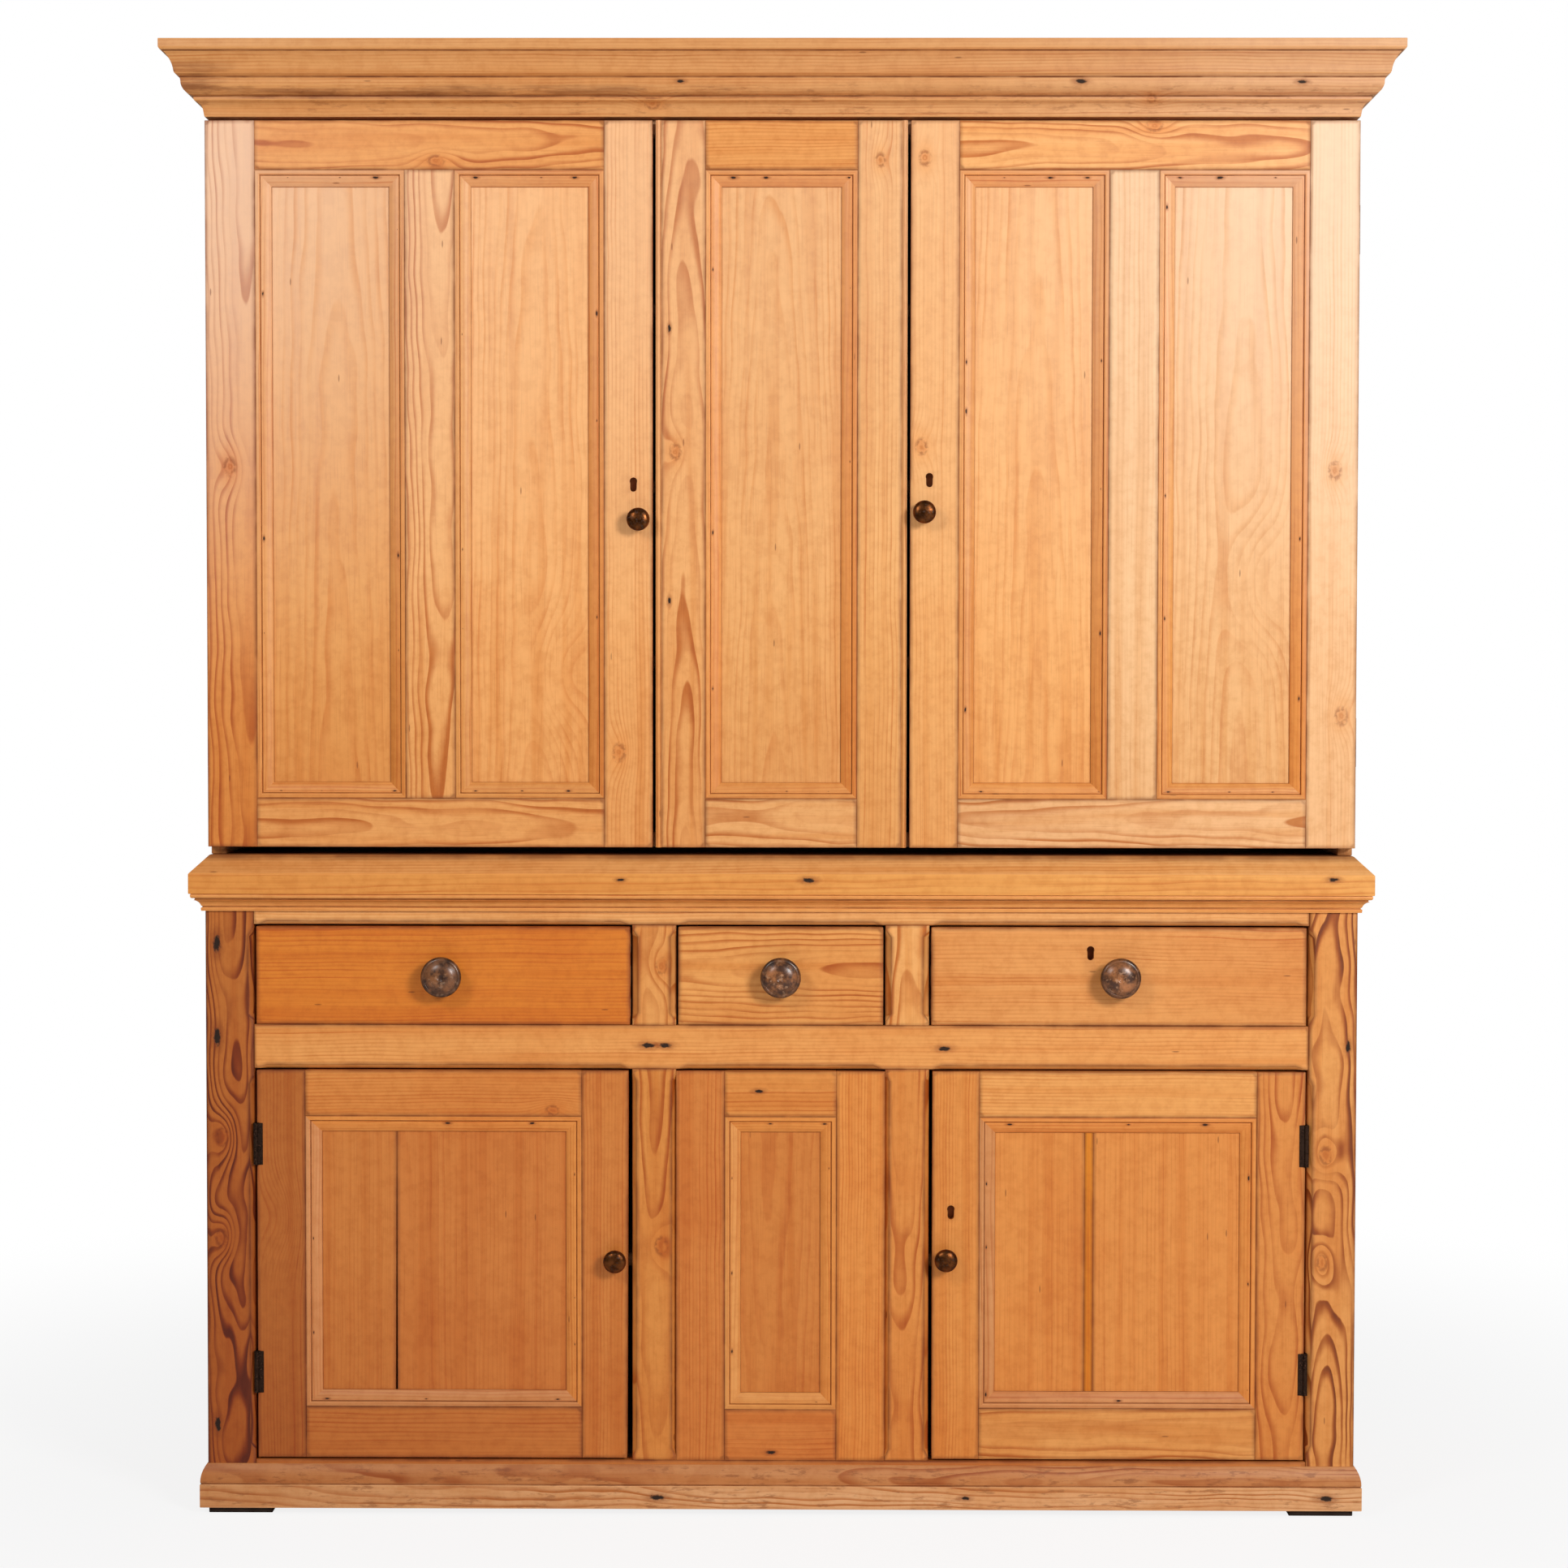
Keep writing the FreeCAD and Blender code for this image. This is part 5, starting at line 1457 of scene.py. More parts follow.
@dataclass(frozen=True)
class Drawer(Assembly):
    """A drawer: front, dovetailed box and turned knob."""

    name: str
    x: Span
    wood: Timber
    keyhole: Span | None = None

    Z = (731.3, 877.0)
    FRONT_EDGE = 1.8
    BACK = 485.0
    SIDE = 12.0
    TAILS = 3
    PROUD = 0.15
    GROOVE = 8
    BOTTOM = (10, 18)

    def build(self) -> None:
        """Make the drawer's pieces."""
        left, right = self.x
        low, high = self.Z
        front = Board(self.x, (0, BOARD), self.Z, Axis.X, Axis.D, self.wood, self.FRONT_EDGE,
                      keyhole=self.keyhole)
        self.shop.piece(f"{self.name}_front", [front.shell()], WAXED)
        inner = (left + self.SIDE, right - self.SIDE)
        shells = []
        for x, out in (((left, inner[0]), -self.PROUD), ((inner[1], right), self.PROUD)):
            shells.append(rough(x, (BOARD, self.BACK), self.Z, Axis.D, Axis.X))
            for index in range(self.TAILS):
                middle = low + (high - low) * (2 * index + 1) / (2 * self.TAILS)
                ends = ((place + out, BOARD, middle) for place in x)
                shells.append(Strip(TAIL_SECTION, *ends, FORWARD, UP, timber=ROUGH_SAWN).shell())
        under, floor = (low + height for height in self.BOTTOM)
        shells.append(rough(inner, (self.BACK - self.SIDE, self.BACK), (floor, high), Axis.X, Axis.D))
        bottom = (left + self.GROOVE, right - self.GROOVE)
        shells += planks(bottom, (BOARD, self.BACK), (under, floor), 3, 0.5)
        self.shop.piece(f"{self.name}_box", shells, PLAIN)
        knob = Turning(DRAWER_KNOB, (left + right) / 2, 0.0, (low + high) / 2)
        self.shop.piece(f"{self.name}_knob", [knob.shell()], GLAZE)
        if self.keyhole:
            self.shop.keep(f"{self.name}_lock_case", IRON)
            self.shop.keep(f"{self.name}_lock_bolt", IRON)


def rough(x: Span, d: Span, z: Span, along: Axis, face: Axis, edge: float = 0.8) -> Shell:
    """Make a rough-sawn board."""
    return Board(x, d, z, along, face, ROUGH_SAWN, edge).shell()


def back_boards(half: float, z: Span, count: int = 8) -> list[Shell]:
    """Make a row of upright back boards.

    Args:
        half: Half the width that they fill.
        z: Their height.
        count: How many there are.

    Returns:
        Their shells.
    """
    pitch = 2 * half / count
    shells = []
    for index in range(count):
        x = (-half + pitch * index, -half + pitch * (index + 1))
        timber = Timber(Tone.DUSTY if index % 3 else Tone.SAWN, Figure.CATHEDRAL)
        shells.append(Board(x, (BACK_FACE, CASE_DEPTH), z, Axis.Z, Axis.D, timber, 1.6).shell())
    return shells


def planks(x: Span, d: Span, z: Span, count: int, edge: float = 0.8) -> list[Shell]:
    """Make a flat floor of rough boards that run across the press.

    Args:
        x: Its width.
        d: Its depth.
        z: Its thickness.
        count: How many boards it has.
        edge: How far their edges are rounded.

    Returns:
        Their shells.
    """
    pitch = (d[1] - d[0]) / count
    return [
        rough(x, (d[0] + pitch * index, d[0] + pitch * (index + 1)), z, Axis.X, Axis.Z, edge)
        for index in range(count)
    ]


def moulded_run(section: tuple[np.ndarray, np.ndarray], half: float, d: float, z: float,
                timber: Timber) -> list[Shell]:
    """Carry a moulding round the front and both sides, with mitred corners.

    Args:
        section: Its section, across outwards and up.
        half: Half the width of its inner face.
        d: Depth of its inner face at the front.
        z: Its foot.
        timber: Its timber.

    Returns:
        The front length and the two returns.
    """
    front = Strip(section, (-half, d, z), (half, d, z), FORWARD, UP, (-1.0, 1.0), timber).shell()
    bare = replace(timber, holes=())
    returns = [
        Strip(section, (x, d, z), (x, CASE_DEPTH, z), (hand, 0, 0), UP, (-1.0, 0.0), bare).shell()
        for hand, x in ((-1, -half), (1, half))
    ]
    return [front, *returns]


def hinge_cuts(edge: Edge, heights: Span, reach: float) -> tuple[Chamfer, ...]:
    """Cut a board's edge back at its two hinges.

    Args:
        edge: The edge.
        heights: The hinges' middles.
        reach: How far a cut goes up and down from there.

    Returns:
        The cuts.
    """
    depth, stop = 3.8, 0.4
    return tuple(Chamfer(edge, depth, (z - reach, z + reach), stop) for z in heights)


@dataclass(frozen=True)
class Stage(Assembly):
    """One of the two cases of the press."""

    half: float

    @property
    def inside(self) -> float:
        """Half the width inside the case."""
        return self.half - BOARD


@dataclass(frozen=True)
class UpperStage(Stage):
    """The upper cupboard: its case, shelves, centre front and cornice."""

    half: float = 848.0
    foot: float = 983.0
    head: float = 2068.0
    fronts: Span = (995.0, 2063.0)
    hinges: Span = (1151.0, 1907.0)
    hinge_reach: float = 37.0
    door_inner: float = 188.0
    door_muntin: Span = (481.5, 554.5)
    door_back: float = 21.7
    front: float = 24.0
    side_front: float = 24.3
    side_joints: Span = (210.0, 380.0)
    upright: Span = (112.0, 157.0)
    shelf_tops: tuple[float, ...] = (1279.25, 1541.5, 1803.75)
    shelf: float = 20.0
    shelf_front: float = 62.0
    cornice_half: float = 812.0
    cornice_front: float = 36.0
    cornice_rail: float = 70.0
    centre_half: float = 177.0

    def build(self) -> None:
        """Make the stage's pieces."""
        self.build_case()
        self.build_cornice()
        self.build_centre()

    def build_case(self) -> None:
        """Make the sides, top, floor, back, uprights and shelves."""
        across, floor = (-self.inside, self.inside), self.fronts[0]
        near, far = self.side_joints
        for hand, name in HANDS.items():
            edge = Edge.LOW_FRONT if hand < 0 else Edge.LOW_BACK
            cuts = hinge_cuts(edge, self.hinges, self.hinge_reach)
            boards = (
                ((self.side_front, near), Timber(Tone.HONEY, Figure.STRAIGHT), 1.2, cuts),
                ((near, far), Timber(Tone.GOLD, Figure.CATHEDRAL), 0.5, ()),
                ((far, CASE_DEPTH), Timber(Tone.HONEY, Figure.CATHEDRAL), 1.0, ()),
            )
            x, z = sides(hand, self.inside, self.half), (self.foot, self.head)
            shells = [Board(x, d, z, Axis.Z, Axis.X, *looks).shell() for d, *looks in boards]
            self.shop.piece(f"upper_{name}_side", shells, WAXED)
        under, over = floor + BOARD, self.head - BOARD
        for name, z in (("top", (over, self.head)), ("bottom", (floor, under))):
            self.shop.piece(f"upper_{name}_board", planks(across, (self.front, BACK_FACE), z, 3), PLAIN)
        self.shop.piece("upper_back_boards", back_boards(self.inside, (floor, self.head)), PLAIN)
        d, z = (BOARD, self.shelf_front), (under, over)
        self.shop.piece("upper_uprights", [
            rough(sides(hand, *self.upright), d, z, Axis.Z, Axis.D, 1.0) for hand in HANDS], PLAIN)
        shelves = []
        for top in self.shelf_tops:
            shelves += planks(across, (self.shelf_front, BACK_FACE), (top - self.shelf, top), 2)
        self.shop.piece("upper_shelves", shelves, PLAIN)

    def build_cornice(self) -> None:
        """Make the cornice and the rail behind it."""
        dressed = Timber(Tone.WHEAT, Figure.STRAIGHT, (Spot(-190, 2086, 7), Spot(540, 2092, 5)),
                         (Spot(-147, 2114, 2.6), Spot(436, 2114, 3.6), Spot(757, 2113, 3)), sheen=0.3)
        half = self.cornice_half
        front, *returns = moulded_run(CORNICE_SECTION, half, self.cornice_front, self.head, dressed)
        self.shop.piece("cornice_front", [front], WAXED)
        self.shop.piece("cornice_returns", returns, WAXED)
        d, z = (BACK_FACE - BOARD, BACK_FACE), (self.head, self.head + self.cornice_rail)
        self.shop.piece("cornice_back_rail", [rough((-half, half), d, z, Axis.X, Axis.D, 1.2)], PLAIN)

    def build_centre(self) -> None:
        """Make the fixed centre front with a bead up each side."""
        half, (foot, head) = self.centre_half, self.fronts
        front = FramedFront((-half, half), self.fronts, stile=65, rails=(72, 72), woods={
            "left_stile": Timber(Tone.HONEY, Figure.FLAME, (Spot(-156, 1578, 8),),
                                 (Spot(-165, 1759, 2.5), Spot(-165, 1359, 2.5))),
            "right_stile": Timber(Tone.HONEY, Figure.STRAIGHT, (Spot(145, 2005, 7),),
                                  (Spot(99, 1753, 2), Spot(100, 1267, 2))),
            "foot_rail": Timber(Tone.STRAW, Figure.FLAME),
            "head_rail": Timber(Tone.GOLD, Figure.STRAIGHT, sheen=0.0),
            "panel_0": Timber(Tone.HONEY, Figure.CATHEDRAL),
        })
        beads = [
            Strip(BEAD_SECTION, (x, BOARD, foot), (x, BOARD, head), (hand, 0, 0), FORWARD,
                  timber=Timber(Tone.GOLD, Figure.STRAIGHT)).shell()
            for hand, x in ((-1, -half), (1, half))
        ]
        self.shop.piece("upper_centre_frame", front.frame() + beads, WAXED)
        self.shop.piece("upper_centre_panel", front.panels(), WAXED)


@dataclass(frozen=True)
class LowerStage(Stage):
    """The lower case: front frame, sides, runners, shelf, waist, plinth and feet."""

    half: float = 853.0
    z: Span = (10.0, 926.0)
    post_inner: float = 781.3
    post_depth: float = 45.0
    floor: float = 81.0
    middle_rail: Span = (666.0, 731.0)
    top_rail: float = 880.0
    divider: Span = (155.0, 220.0)
    shelf: Span = (363.5, 383.5)
    side_joints: Span = (215.0, 390.0)
    between_posts: float = 781.0
    outer_runner: float = 751.0
    inner_runner: Span = (125.0, 250.0)
    runner_thick: float = 20.0
    guide_high: float = 40.0
    bearer: Span = (18.0, 30.0)
    bed_foot: float = 900.0
    foot_x: Span = (757.0, 852.0)
    feet_d: tuple[Span, Span] = ((1.0, 61.0), (479.0, 539.0))
    waist_half: float = 874.0
    waist_front: float = -21.0
    waist_thick: float = 57.0
    waist_lap: float = 150.0

    def build(self) -> None:
        """Make the stage's pieces."""
        self.build_front()
        self.build_centre()
        self.build_case()
        self.build_mouldings()

    def build_front(self) -> None:
        """Make the posts, rails and dividers."""
        posts = []
        for hand, edge, timber in (
            (-1, Edge.HIGH_FRONT, Timber(Tone.RUSSET, Figure.WILD, (Spot(-829, 563, 9), Spot(-831, 412, 9)),
                                         (Spot(-836, 851, 6), Spot(-836, 713, 6), Spot(-838, 133, 5)))),
            (1, Edge.LOW_FRONT, Timber(Tone.GOLD, Figure.WILD, (Spot(808, 539, 9), Spot(804, 379, 8)),
                                       (Spot(840, 701, 4),))),
        ):
            cuts = (Chamfer(edge, 9.0, (733, 876)), Chamfer(edge, 7.5, (92, 656)))
            posts.append(Board(sides(hand, self.post_inner, self.half), (0, self.post_depth), self.z, Axis.Z,
                               Axis.D, timber, 2.2, cuts).shell())
        self.shop.piece("corner_posts", posts, WAXED)
        nails = (Spot(-197, 701, 4.4), Spot(-171, 701, 4.0), Spot(242, 697, 4))
        bays = ((-776, -224), (-151, 151), (224, 776))
        rails = []
        for z, timber, edge, cut, spans in (
            ((self.top_rail, self.z[1]), Timber(Tone.HONEY, Figure.STRAIGHT), 1.0, 5.0, bays),
            (self.middle_rail, Timber(Tone.GOLD, Figure.STRAIGHT, (), nails), 1.2, 6.0, bays),
            ((self.z[0], self.floor), Timber(Tone.TOFFEE, Figure.STRAIGHT), 1.4, 0.0, ()),
        ):
            cuts = tuple(Chamfer(Edge.LOW_FRONT, cut, span) for span in spans)
            x = (-self.post_inner, self.post_inner)
            rails.append(Board(x, (0, BOARD), z, Axis.X, Axis.D, timber, edge, cuts).shell())
        self.shop.piece("front_rails", rails, WAXED)
        low, high = self.middle_rail
        dividers = []
        for hand, tone in ((-1, Tone.GOLD), (1, Tone.HONEY)):
            for z, cut, wood, knot in (
                ((self.floor, low), 6.5, Tone.AMBER, Spot(-177, 402, 9)),
                ((high, self.top_rail), 9.0, tone, Spot(-177, 819, 8)),
            ):
                cuts = tuple(Chamfer(edge, cut, (z[0] + 6, z[1] - 6), 12.0)
                             for edge in (Edge.LOW_FRONT, Edge.HIGH_FRONT))
                timber = Timber(wood, Figure.FLAME, (knot,) if hand < 0 else ())
                x = sides(hand, *self.divider)
                dividers.append(Board(x, (0, BOARD), z, Axis.Z, Axis.D, timber, 1.0, cuts).shell())
        self.shop.piece("front_dividers", dividers, WAXED)

    def build_centre(self) -> None:
        """Make the fixed centre front."""
        half = self.divider[0]
        centre = FramedFront((-half, half), (self.floor, LOWER_DOORS[1]), stile=72, rails=(76, 68), woods={
            "left_stile": Timber(Tone.TOFFEE, Figure.STRAIGHT),
            "right_stile": Timber(Tone.AMBER, Figure.STRAIGHT),
            "foot_rail": Timber(Tone.TOFFEE, Figure.STRAIGHT, (), (Spot(-14, 93, 3),)),
            "head_rail": Timber(Tone.AMBER, Figure.STRAIGHT, (), (Spot(-32, 633, 3),)),
            "panel_0": Timber(Tone.TOFFEE, Figure.CATHEDRAL),
        })
        self.shop.piece("lower_centre_frame", centre.frame(), WAXED)
        self.shop.piece("lower_centre_panel", centre.panels(), WAXED)

    def build_case(self) -> None:
        """Make the sides, floor, shelf, back, runners and bearers."""
        inside, behind = self.inside, (self.post_depth, BACK_FACE)
        across, (near, far) = (-inside, inside), self.side_joints
        boards = (
            ((self.post_depth, near), Tone.AMBER), ((near, far), Tone.GOLD), ((far, CASE_DEPTH), Tone.AMBER))
        for hand, name in HANDS.items():
            x = sides(hand, inside, self.half)
            self.shop.piece(f"lower_{name}_side", [
                Board(x, d, self.z, Axis.Z, Axis.X, Timber(tone, Figure.CATHEDRAL), 0.8).shell()
                for d, tone in boards], WAXED)
        floor = (self.floor - BOARD, self.floor)
        self.shop.piece("lower_bottom_board", [
            *planks((-self.between_posts, self.between_posts), (BOARD, self.post_depth), floor, 1),
            *planks(across, behind, floor, 3)], PLAIN)
        self.shop.piece("lower_shelf", planks(across, behind, self.shelf, 2), PLAIN)
        self.shop.piece("lower_back_boards", back_boards(inside, self.z), PLAIN)
        self.build_bearers()

    def build_bearers(self) -> None:
        """Make what the drawers run on and the shelves of both stages lie on."""
        upper, level = UpperStage(self.shop), self.middle_rail[1]
        runner, guide = (level - self.runner_thick, level), (level, level + self.guide_high)
        wide, high = self.bearer
        runners, bearers = [], []
        for hand in HANDS:
            for x, front, z in (
                ((self.outer_runner, self.inside), self.post_depth, runner),
                (self.inner_runner, BOARD, runner),
                ((self.between_posts, self.inside), self.post_depth, guide),
                (self.divider, BOARD, guide),
            ):
                runners.append(rough(sides(hand, *x), (front, BACK_FACE), z, Axis.D, Axis.Z))
            for reach, front, tops in (
                (self.inside, self.post_depth, self.shelf[:1]),
                (upper.inside, upper.shelf_front, [top - upper.shelf for top in upper.shelf_tops]),
            ):
                x, d = sides(hand, reach - wide, reach), (front, BACK_FACE)
                bearers += [rough(x, d, (top - high, top), Axis.D, Axis.X) for top in tops]
        self.shop.piece("drawer_runners", runners, PLAIN)
        self.shop.piece("shelf_bearers", bearers, PLAIN)

    def waist(self) -> list[Shell]:
        """Make the waist board, sloped along its front and both ends.

        Its section is carried along the left end, the front and the right end, so that the point
        at (across, up) lies that far in from each outer face, and a plain board fills the middle.

        Returns:
            The shells.
        """
        half, front, foot, thick = self.waist_half, self.waist_front, self.z[1], self.waist_thick
        spots, wear = outline([(0, 0), (160, 0), (160, thick), (27, thick), (14.4, 44.2), (3.4, 33.2),
                               (1.4, 31.2), (0, 29.6), (0, 27.0)], 1.4)
        a, h = spots[:, 0], spots[:, 1]
        # Grime and painted shade on the top corners under the upper stage; the arris between slope and face
        # is worn and carries a painted highlight.
        wear[h > 50] = -0.7
        wear[(h > 29) & (h < 32)] = 0.9
        x = np.stack([a - half, a - half, half - a, half - a])
        d = np.stack([0 * a + CASE_DEPTH, front + a, front + a, 0 * a + CASE_DEPTH])
        z = np.broadcast_to(foot + h, x.shape)
        shell = tube(np.stack([x, d, z], -1))
        timber = Timber(Tone.GOLD, Figure.STRAIGHT, (),
                        (Spot(-236, 948, 2.4), Spot(41, 948, 4.2), Spot(813, 950, 3.4)))
        mark = np.broadcast_to(wear, x.shape)
        shell.values = timber.values(x, z, d, mark, (0.0, 955.0, 100.0), False, 41)
        slope = shell.points[:, 2:] > foot + 31
        right = shell.points[:, :1] > 0
        shell.values["tone"] *= np.where(slope, (0.98, 1.03, 1.22), (1.01, 0.98, 0.82))
        # Painted light on the right half of the waist, paler and brighter, and painted shade on the left
        # half, darker.
        shell.values["tone"] *= np.where(right, (1.05, 1.14, 1.26), (0.93, 0.85, 0.74))
        lap = self.waist_lap
        deck = Board((lap - half, half - lap), (front + lap, CASE_DEPTH), (foot, foot + thick),
                     Axis.X, Axis.Z, Timber(Tone.GOLD, Figure.STRAIGHT), 0.4)
        return [shell.outward(), deck.shell()]

    def build_mouldings(self) -> None:
        """Make the waist, the bed moulding, the plinth and the feet."""
        foot = self.z[0]
        self.shop.piece("waist_board", self.waist(), WAXED)
        gold = Timber(Tone.GOLD, Figure.STRAIGHT)
        self.shop.piece("bed_mouldings", moulded_run(BED_SECTION, self.half, 0.0, self.bed_foot, gold), WAXED)
        nails = (Spot(-183, 28, 4.6), Spot(810, 29, 4.6), Spot(275, 28, 3))
        rosy = Timber(Tone.ROSY, Figure.FLAME, holes=nails)
        plinth = moulded_run(PLINTH_SECTION, self.half, 0.0, foot, rosy)
        for shell in plinth:
            nose = shell.points[:, 2] > foot + 35.8
            shell.values["tone"][nose] *= (0.76, 0.60, 0.44)
        self.shop.piece("plinth_boards", plinth, WAXED)
        # The feet are painted near black: painted shadow under the plinth.
        shadowed_feet = Timber(Tone.UNDER_SHADOW, Figure.QUIET)
        feet = [
            Board(sides(hand, *self.foot_x), d, (0, foot), Axis.X, Axis.Z, shadowed_feet, 1.2).shell()
            for hand in HANDS for d in self.feet_d
        ]
        self.shop.piece("feet", feet, DARK)


@dataclass(frozen=True)
class Studio:
    """The camera, the lamps, the pale floor and the white surround."""

    eye: Point = (0.0344, -4.6004, 1.236)
    pitch: float = -1.9312
    yaw: float = -0.3932
    roll: float = 0.0773
    lens: float = 67.76

    def camera(self) -> None:
        """Set the camera at the photograph's viewing angle."""
        pitch, yaw, roll = (math.radians(angle) for angle in (self.pitch, self.yaw, self.roll))
        ahead = Vector((math.sin(yaw) * math.cos(pitch), math.cos(yaw) * math.cos(pitch), math.sin(pitch)))
        right = Vector((math.cos(yaw), -math.sin(yaw), 0.0))
        up = right.cross(ahead)
        cosine, sine = math.cos(roll), math.sin(roll)
        right, up = right * cosine + up * sine, up * cosine - right * sine
        camera = bpy.data.objects.new("photo_camera", bpy.data.cameras.new("photo_camera"))
        camera.data.lens = self.lens
        camera.data.sensor_width = 36.0
        turn = Matrix((right, up, -ahead)).transposed().to_4x4()
        camera.matrix_world = Matrix.Translation(self.eye) @ turn
        bpy.context.scene.collection.objects.link(camera)
        bpy.context.scene.camera = camera

    def lamp(self, name: str, place: Point, target: Point, size: float, power: float) -> None:
        """Hang a soft square lamp.

        Args:
            name: Its name.
            place: Where it hangs.
            target: What it points at.
            size: Its side.
            power: Its power in watts.
        """
        data = bpy.data.lights.new(name, "AREA")
        data.size = size
        data.energy = power
        lamp = bpy.data.objects.new(name, data)
        lamp.location = place
        lamp.rotation_euler = (Vector(target) - Vector(place)).to_track_quat("-Z", "Y").to_euler()
        bpy.context.scene.collection.objects.link(lamp)

    def surround(self) -> None:
        """Light the scene softly from all round, and show white behind it."""
        world = bpy.data.worlds.new("white_surround")
        bpy.context.scene.world = world
        world.use_nodes = True
        nodes = Nodes(world.node_tree)
        path = nodes.add("ShaderNodeLightPath").output.node
        camera, through = (Socket(nodes, path.outputs[f"Is {ray} Ray"]) for ray in ("Camera", "Transmission"))
        strength = (camera + through).math("MINIMUM", 1.0) * 0.76 + 0.24
        glow = nodes.add("ShaderNodeBackground", inputs={"Color": WHITE, "Strength": strength})
        nodes.add("ShaderNodeOutputWorld", inputs={"Surface": glow})

    def floor(self) -> None:
        """Lay a wide pale floor that keeps the shadow of the press."""
        mesh = bpy.data.meshes.new("floor")
        reach = 60.0
        corners = [(reach * x, reach * y, 0) for x, y in ((-1, -1), (1, -1), (1, 1), (-1, 1))]
        mesh.from_pydata(corners, [], [(0, 1, 2, 3)])
        floor = bpy.data.objects.new("floor", mesh)
        material, nodes = new_material("pale_floor")
        path = nodes.add("ShaderNodeLightPath", output="Is Camera Ray")
        x, y, _ = nodes.parts(nodes.add("ShaderNodeTexCoord", output="Object"))
        away = (x * x + y * y).math("SQRT").smooth(0.9, 2.6)
        plain = nodes.add("ShaderNodeBsdfDiffuse", inputs={"Color": (0.82, 0.82, 0.82, 1)})
        white = nodes.add("ShaderNodeEmission", inputs={"Color": WHITE, "Strength": 1.0})
        both = nodes.add("ShaderNodeMixShader", inputs={0: path * (away * 0.15 + 0.85), 1: plain, 2: white})
        nodes.add("ShaderNodeOutputMaterial", inputs={"Surface": both})
        mesh.materials.append(material)
        bpy.context.scene.collection.objects.link(floor)

    def build(self) -> None:
        """Set the whole studio."""
        bpy.context.scene.view_settings.view_transform = "Standard"
        self.camera()
        self.surround()
        self.floor()
        self.lamp("left_softbox", (-1.9, -3.0, 2.75), target=(-0.35, -0.2, 1.70), size=0.9, power=35.5)
        self.lamp("right_softbox", (2.6, -4.2, 2.62), target=(0.45, -0.2, 0.95), size=1.2, power=151.0)


def upper_front(hand: int, woods: dict[str, Timber], keyhole: Span) -> FramedFront:
    """Lay out an upper door.

    Args:
        hand: -1 for the left door and 1 for the right one.
        woods: Its timbers.
        keyhole: Its keyhole's x and z.

    Returns:
        The framed front.
    """
    stage = UpperStage
    lock, hinge = ("right_stile", "left_stile") if hand < 0 else ("left_stile", "right_stile")
    cuts = hinge_cuts(Edge.LOW_BACK if hand < 0 else Edge.HIGH_BACK, stage.hinges, stage.hinge_reach)
    return FramedFront(
        sides(hand, stage.door_inner, stage.half), stage.fronts, stile=73, rails=(72, 72),
        muntin=sides(hand, *stage.door_muntin), woods=woods, cuts={hinge: cuts}, keyholes={lock: keyhole},
        back=stage.door_back, shrunk=(0.0, 2.0) if hand < 0 else (2.0, 0.0))


def lower_front(hand: int, woods: dict[str, Timber], keyholes: dict[str, Span],
                splits: tuple[tuple[float, float, Tone], ...]) -> FramedFront:
    """Lay out a lower door. The left one has sagged, so that its gap widens downwards.

    Args:
        hand: -1 for the left door and 1 for the right one.
        woods: Its timbers.
        keyholes: Its keyholes by board.
        splits: Where its panel has joints, with the gap at the foot and the next board's tone.

    Returns:
        The framed front.
    """
    hinge, edge, shrunk, sag = (("left_stile", Edge.LOW_FRONT, (0.3, 2.8), 2.4) if hand < 0 else
                                ("right_stile", Edge.HIGH_FRONT, (2.4, 0.3), 0.0))
    return FramedFront(
        sides(hand, *LOWER_DOOR_X), LOWER_DOORS, stile=72, rails=(76, 68), woods=woods,
        cuts={hinge: hinge_cuts(edge, LOWER_HINGES, LOWER_HINGE_REACH)}, keyholes=keyholes, shrunk=shrunk,
        splits=splits, mouldings=(Tone.BISCUIT, Tone.AMBER), sag=sag)


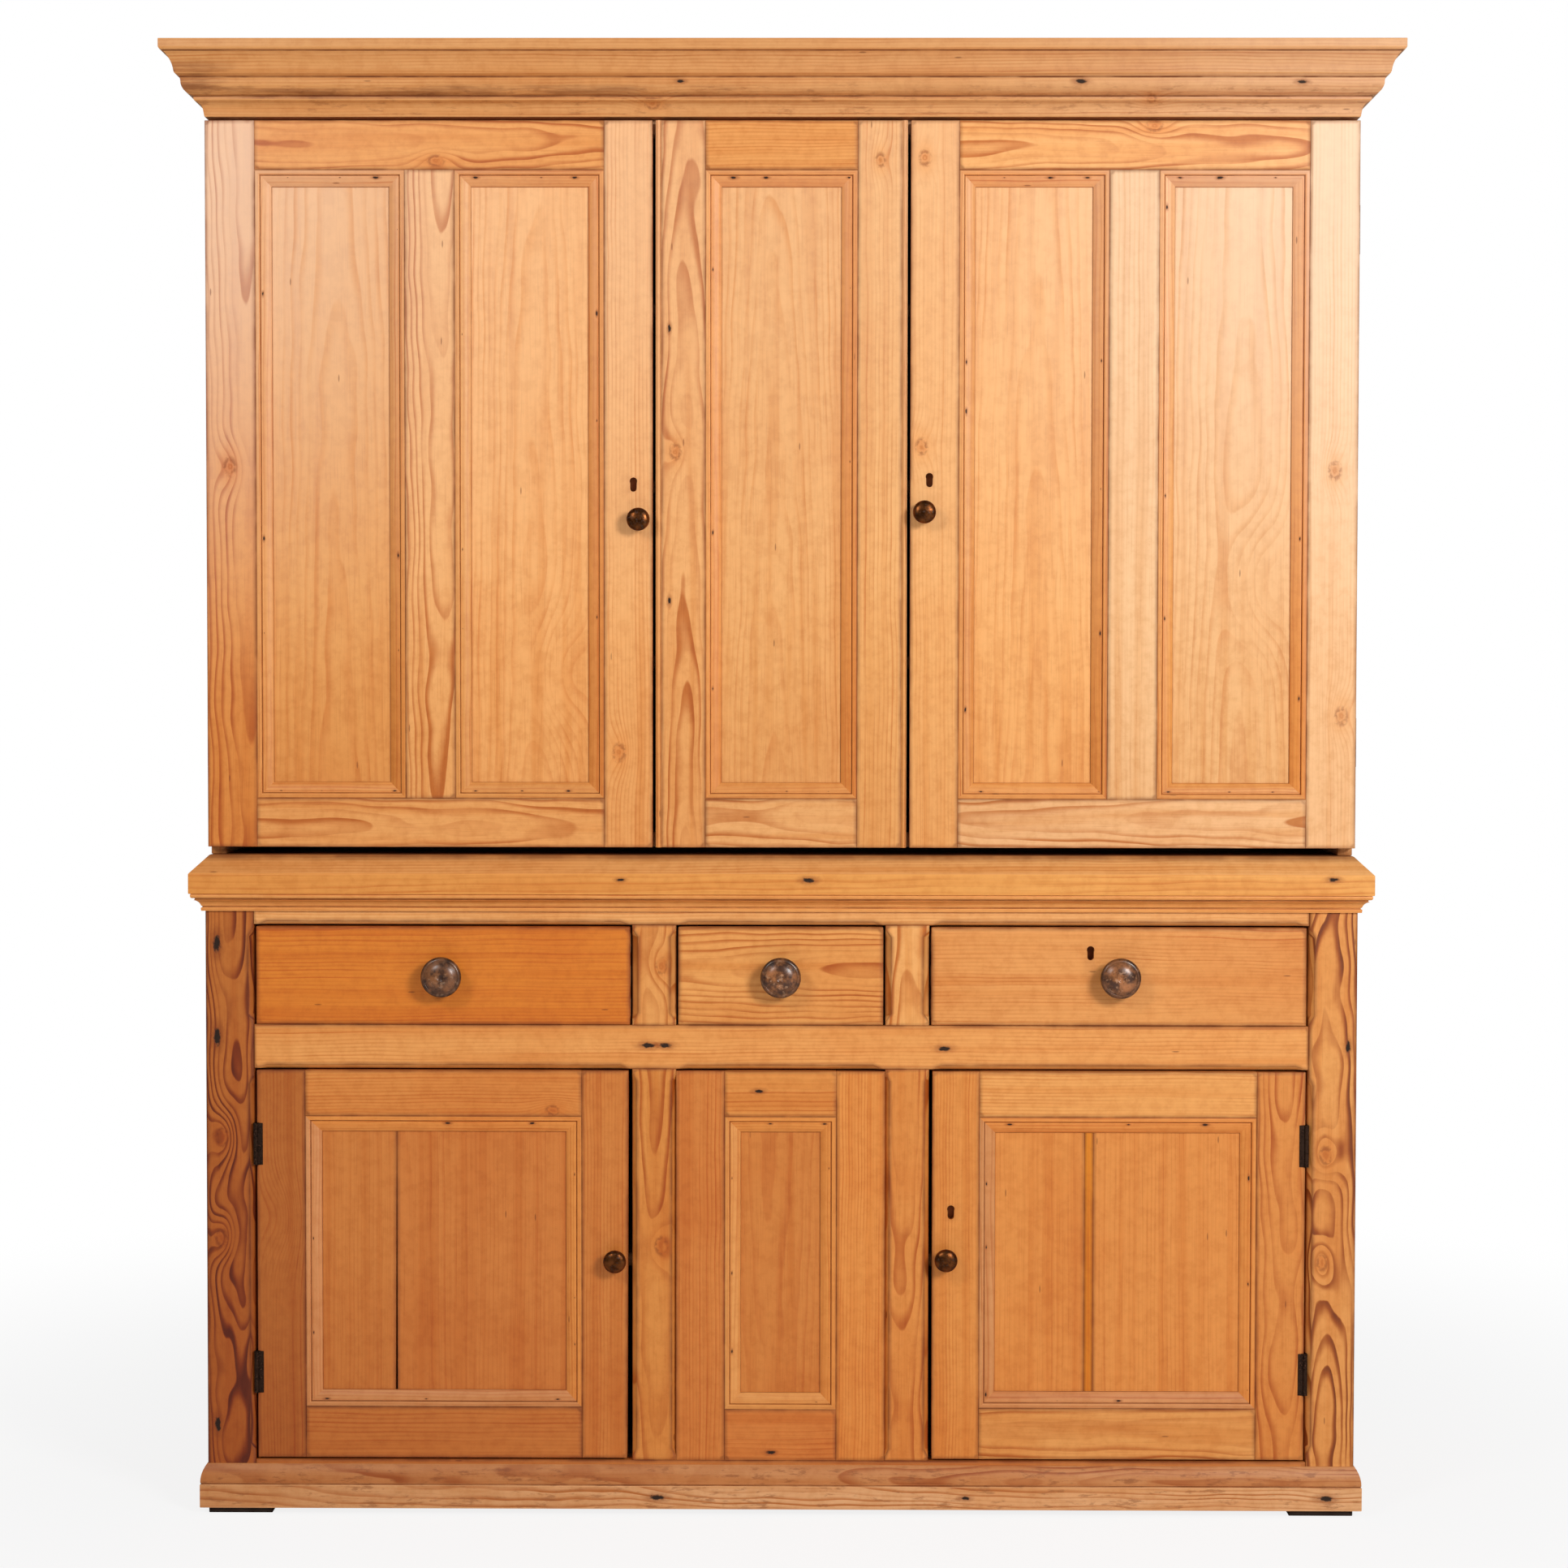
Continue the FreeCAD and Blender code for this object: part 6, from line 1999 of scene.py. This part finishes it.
def doors(shop: Workshop) -> list[Door]:
    """List the four hung doors with their timbers.

    Args:
        shop: The workshop that makes them.

    Returns:
        The doors.
    """
    return [
        Door(shop, "upper_left", upper_front(-1, {
            "left_stile": Timber(Tone.AMBER, Figure.FLAME, (Spot(-813, 1556, 9),), pith=-786, sheen=1.2),
            "right_stile": Timber(Tone.HONEY, Figure.STRAIGHT, (Spot(-239, 1135, 9),), sheen=1.6),
            "head_rail": Timber(Tone.GOLD, Figure.FLAME, (Spot(-508, 2004, 8),), sheen=0.1),
            "foot_rail": Timber(Tone.HONEY, Figure.FLAME),
            "muntin": Timber(Tone.HONEY, Figure.FLAME, pith=-500),
            "panel_0": Timber(Tone.GOLD, Figure.CATHEDRAL),
            "panel_1": Timber(Tone.HONEY, Figure.CATHEDRAL, (Spot(-326, 1252, 22, True),)),
        }, keyhole=(-218, 1535)), knob=(-210, 1478)),
        Door(shop, "upper_right", upper_front(1, {
            "left_stile": Timber(Tone.HONEY, Figure.QUIET, (Spot(210, 2008, 8), Spot(206, 1586, 8))),
            "right_stile": Timber(Tone.CREAM, Figure.QUIET, (Spot(814, 1551, 9), Spot(826, 1190, 9))),
            "head_rail": Timber(Tone.HONEY, Figure.FLAME, (Spot(546, 2055, 8),), sheen=0.1),
            "foot_rail": Timber(Tone.CREAM, Figure.FLAME),
            "muntin": Timber(Tone.CREAM, Figure.QUIET),
            "panel_0": Timber(Tone.HONEY, Figure.CATHEDRAL),
            "panel_1": Timber(Tone.STRAW, Figure.CATHEDRAL, (Spot(708, 1384, 24, True),)),
        }, keyhole=(218, 1542)), knob=(210, 1489)),
        Door(shop, "lower_left", lower_front(-1, {
            "left_stile": Timber(Tone.RUSSET, Figure.STRAIGHT, (Spot(-744, 443, 14, True),)),
            "right_stile": Timber(Tone.TOFFEE, Figure.STRAIGHT),
            "head_rail": Timber(Tone.AMBER, Figure.STRAIGHT, (Spot(-338, 604, 7),)),
            "foot_rail": Timber(Tone.TOFFEE, Figure.STRAIGHT),
            "panel_0": Timber(Tone.TOFFEE, Figure.QUIET),
        }, keyholes={}, splits=((-571, 3.2, Tone.TOFFEE),)), knob=(-245, 382), plates=LOWER_HINGES),
        Door(shop, "lower_right", lower_front(1, {
            "left_stile": Timber(Tone.AMBER, Figure.STRAIGHT),
            "right_stile": Timber(Tone.AMBER, Figure.FLAME),
            "head_rail": Timber(Tone.GOLD, Figure.STRAIGHT),
            "foot_rail": Timber(Tone.GOLD, Figure.FLAME),
            "panel_0": Timber(Tone.AMBER, Figure.QUIET),
        }, keyholes={"left_stile": (253, 458)}, splits=((452, 0.0, Tone.RESIN), (465, 0.0, Tone.AMBER))),
            knob=(245, 385), plates=LOWER_HINGES),
    ]


def main() -> None:
    """Build the studio and the press."""
    logging.basicConfig(level=logging.INFO, format="%(message)s")
    Studio().build()
    shop = Workshop()
    for assembly in (
        UpperStage(shop), LowerStage(shop), *doors(shop),
        Drawer(shop, "left_drawer", sides(-1, *LOWER_DOOR_X), Timber(Tone.ORANGE, Figure.STRAIGHT)),
        Drawer(shop, "middle_drawer", (-152, 152), Timber(Tone.GOLD, Figure.FLAME)),
        Drawer(shop, "right_drawer", sides(1, *LOWER_DOOR_X), Timber(Tone.GOLD, Figure.STRAIGHT),
               keyhole=(458.5, 844)),
    ):
        assembly.build()
    for node in ("hinge_case_leaves", "hinge_pins"):
        shop.keep(node, IRON)


if __name__ == "__main__":
    main()
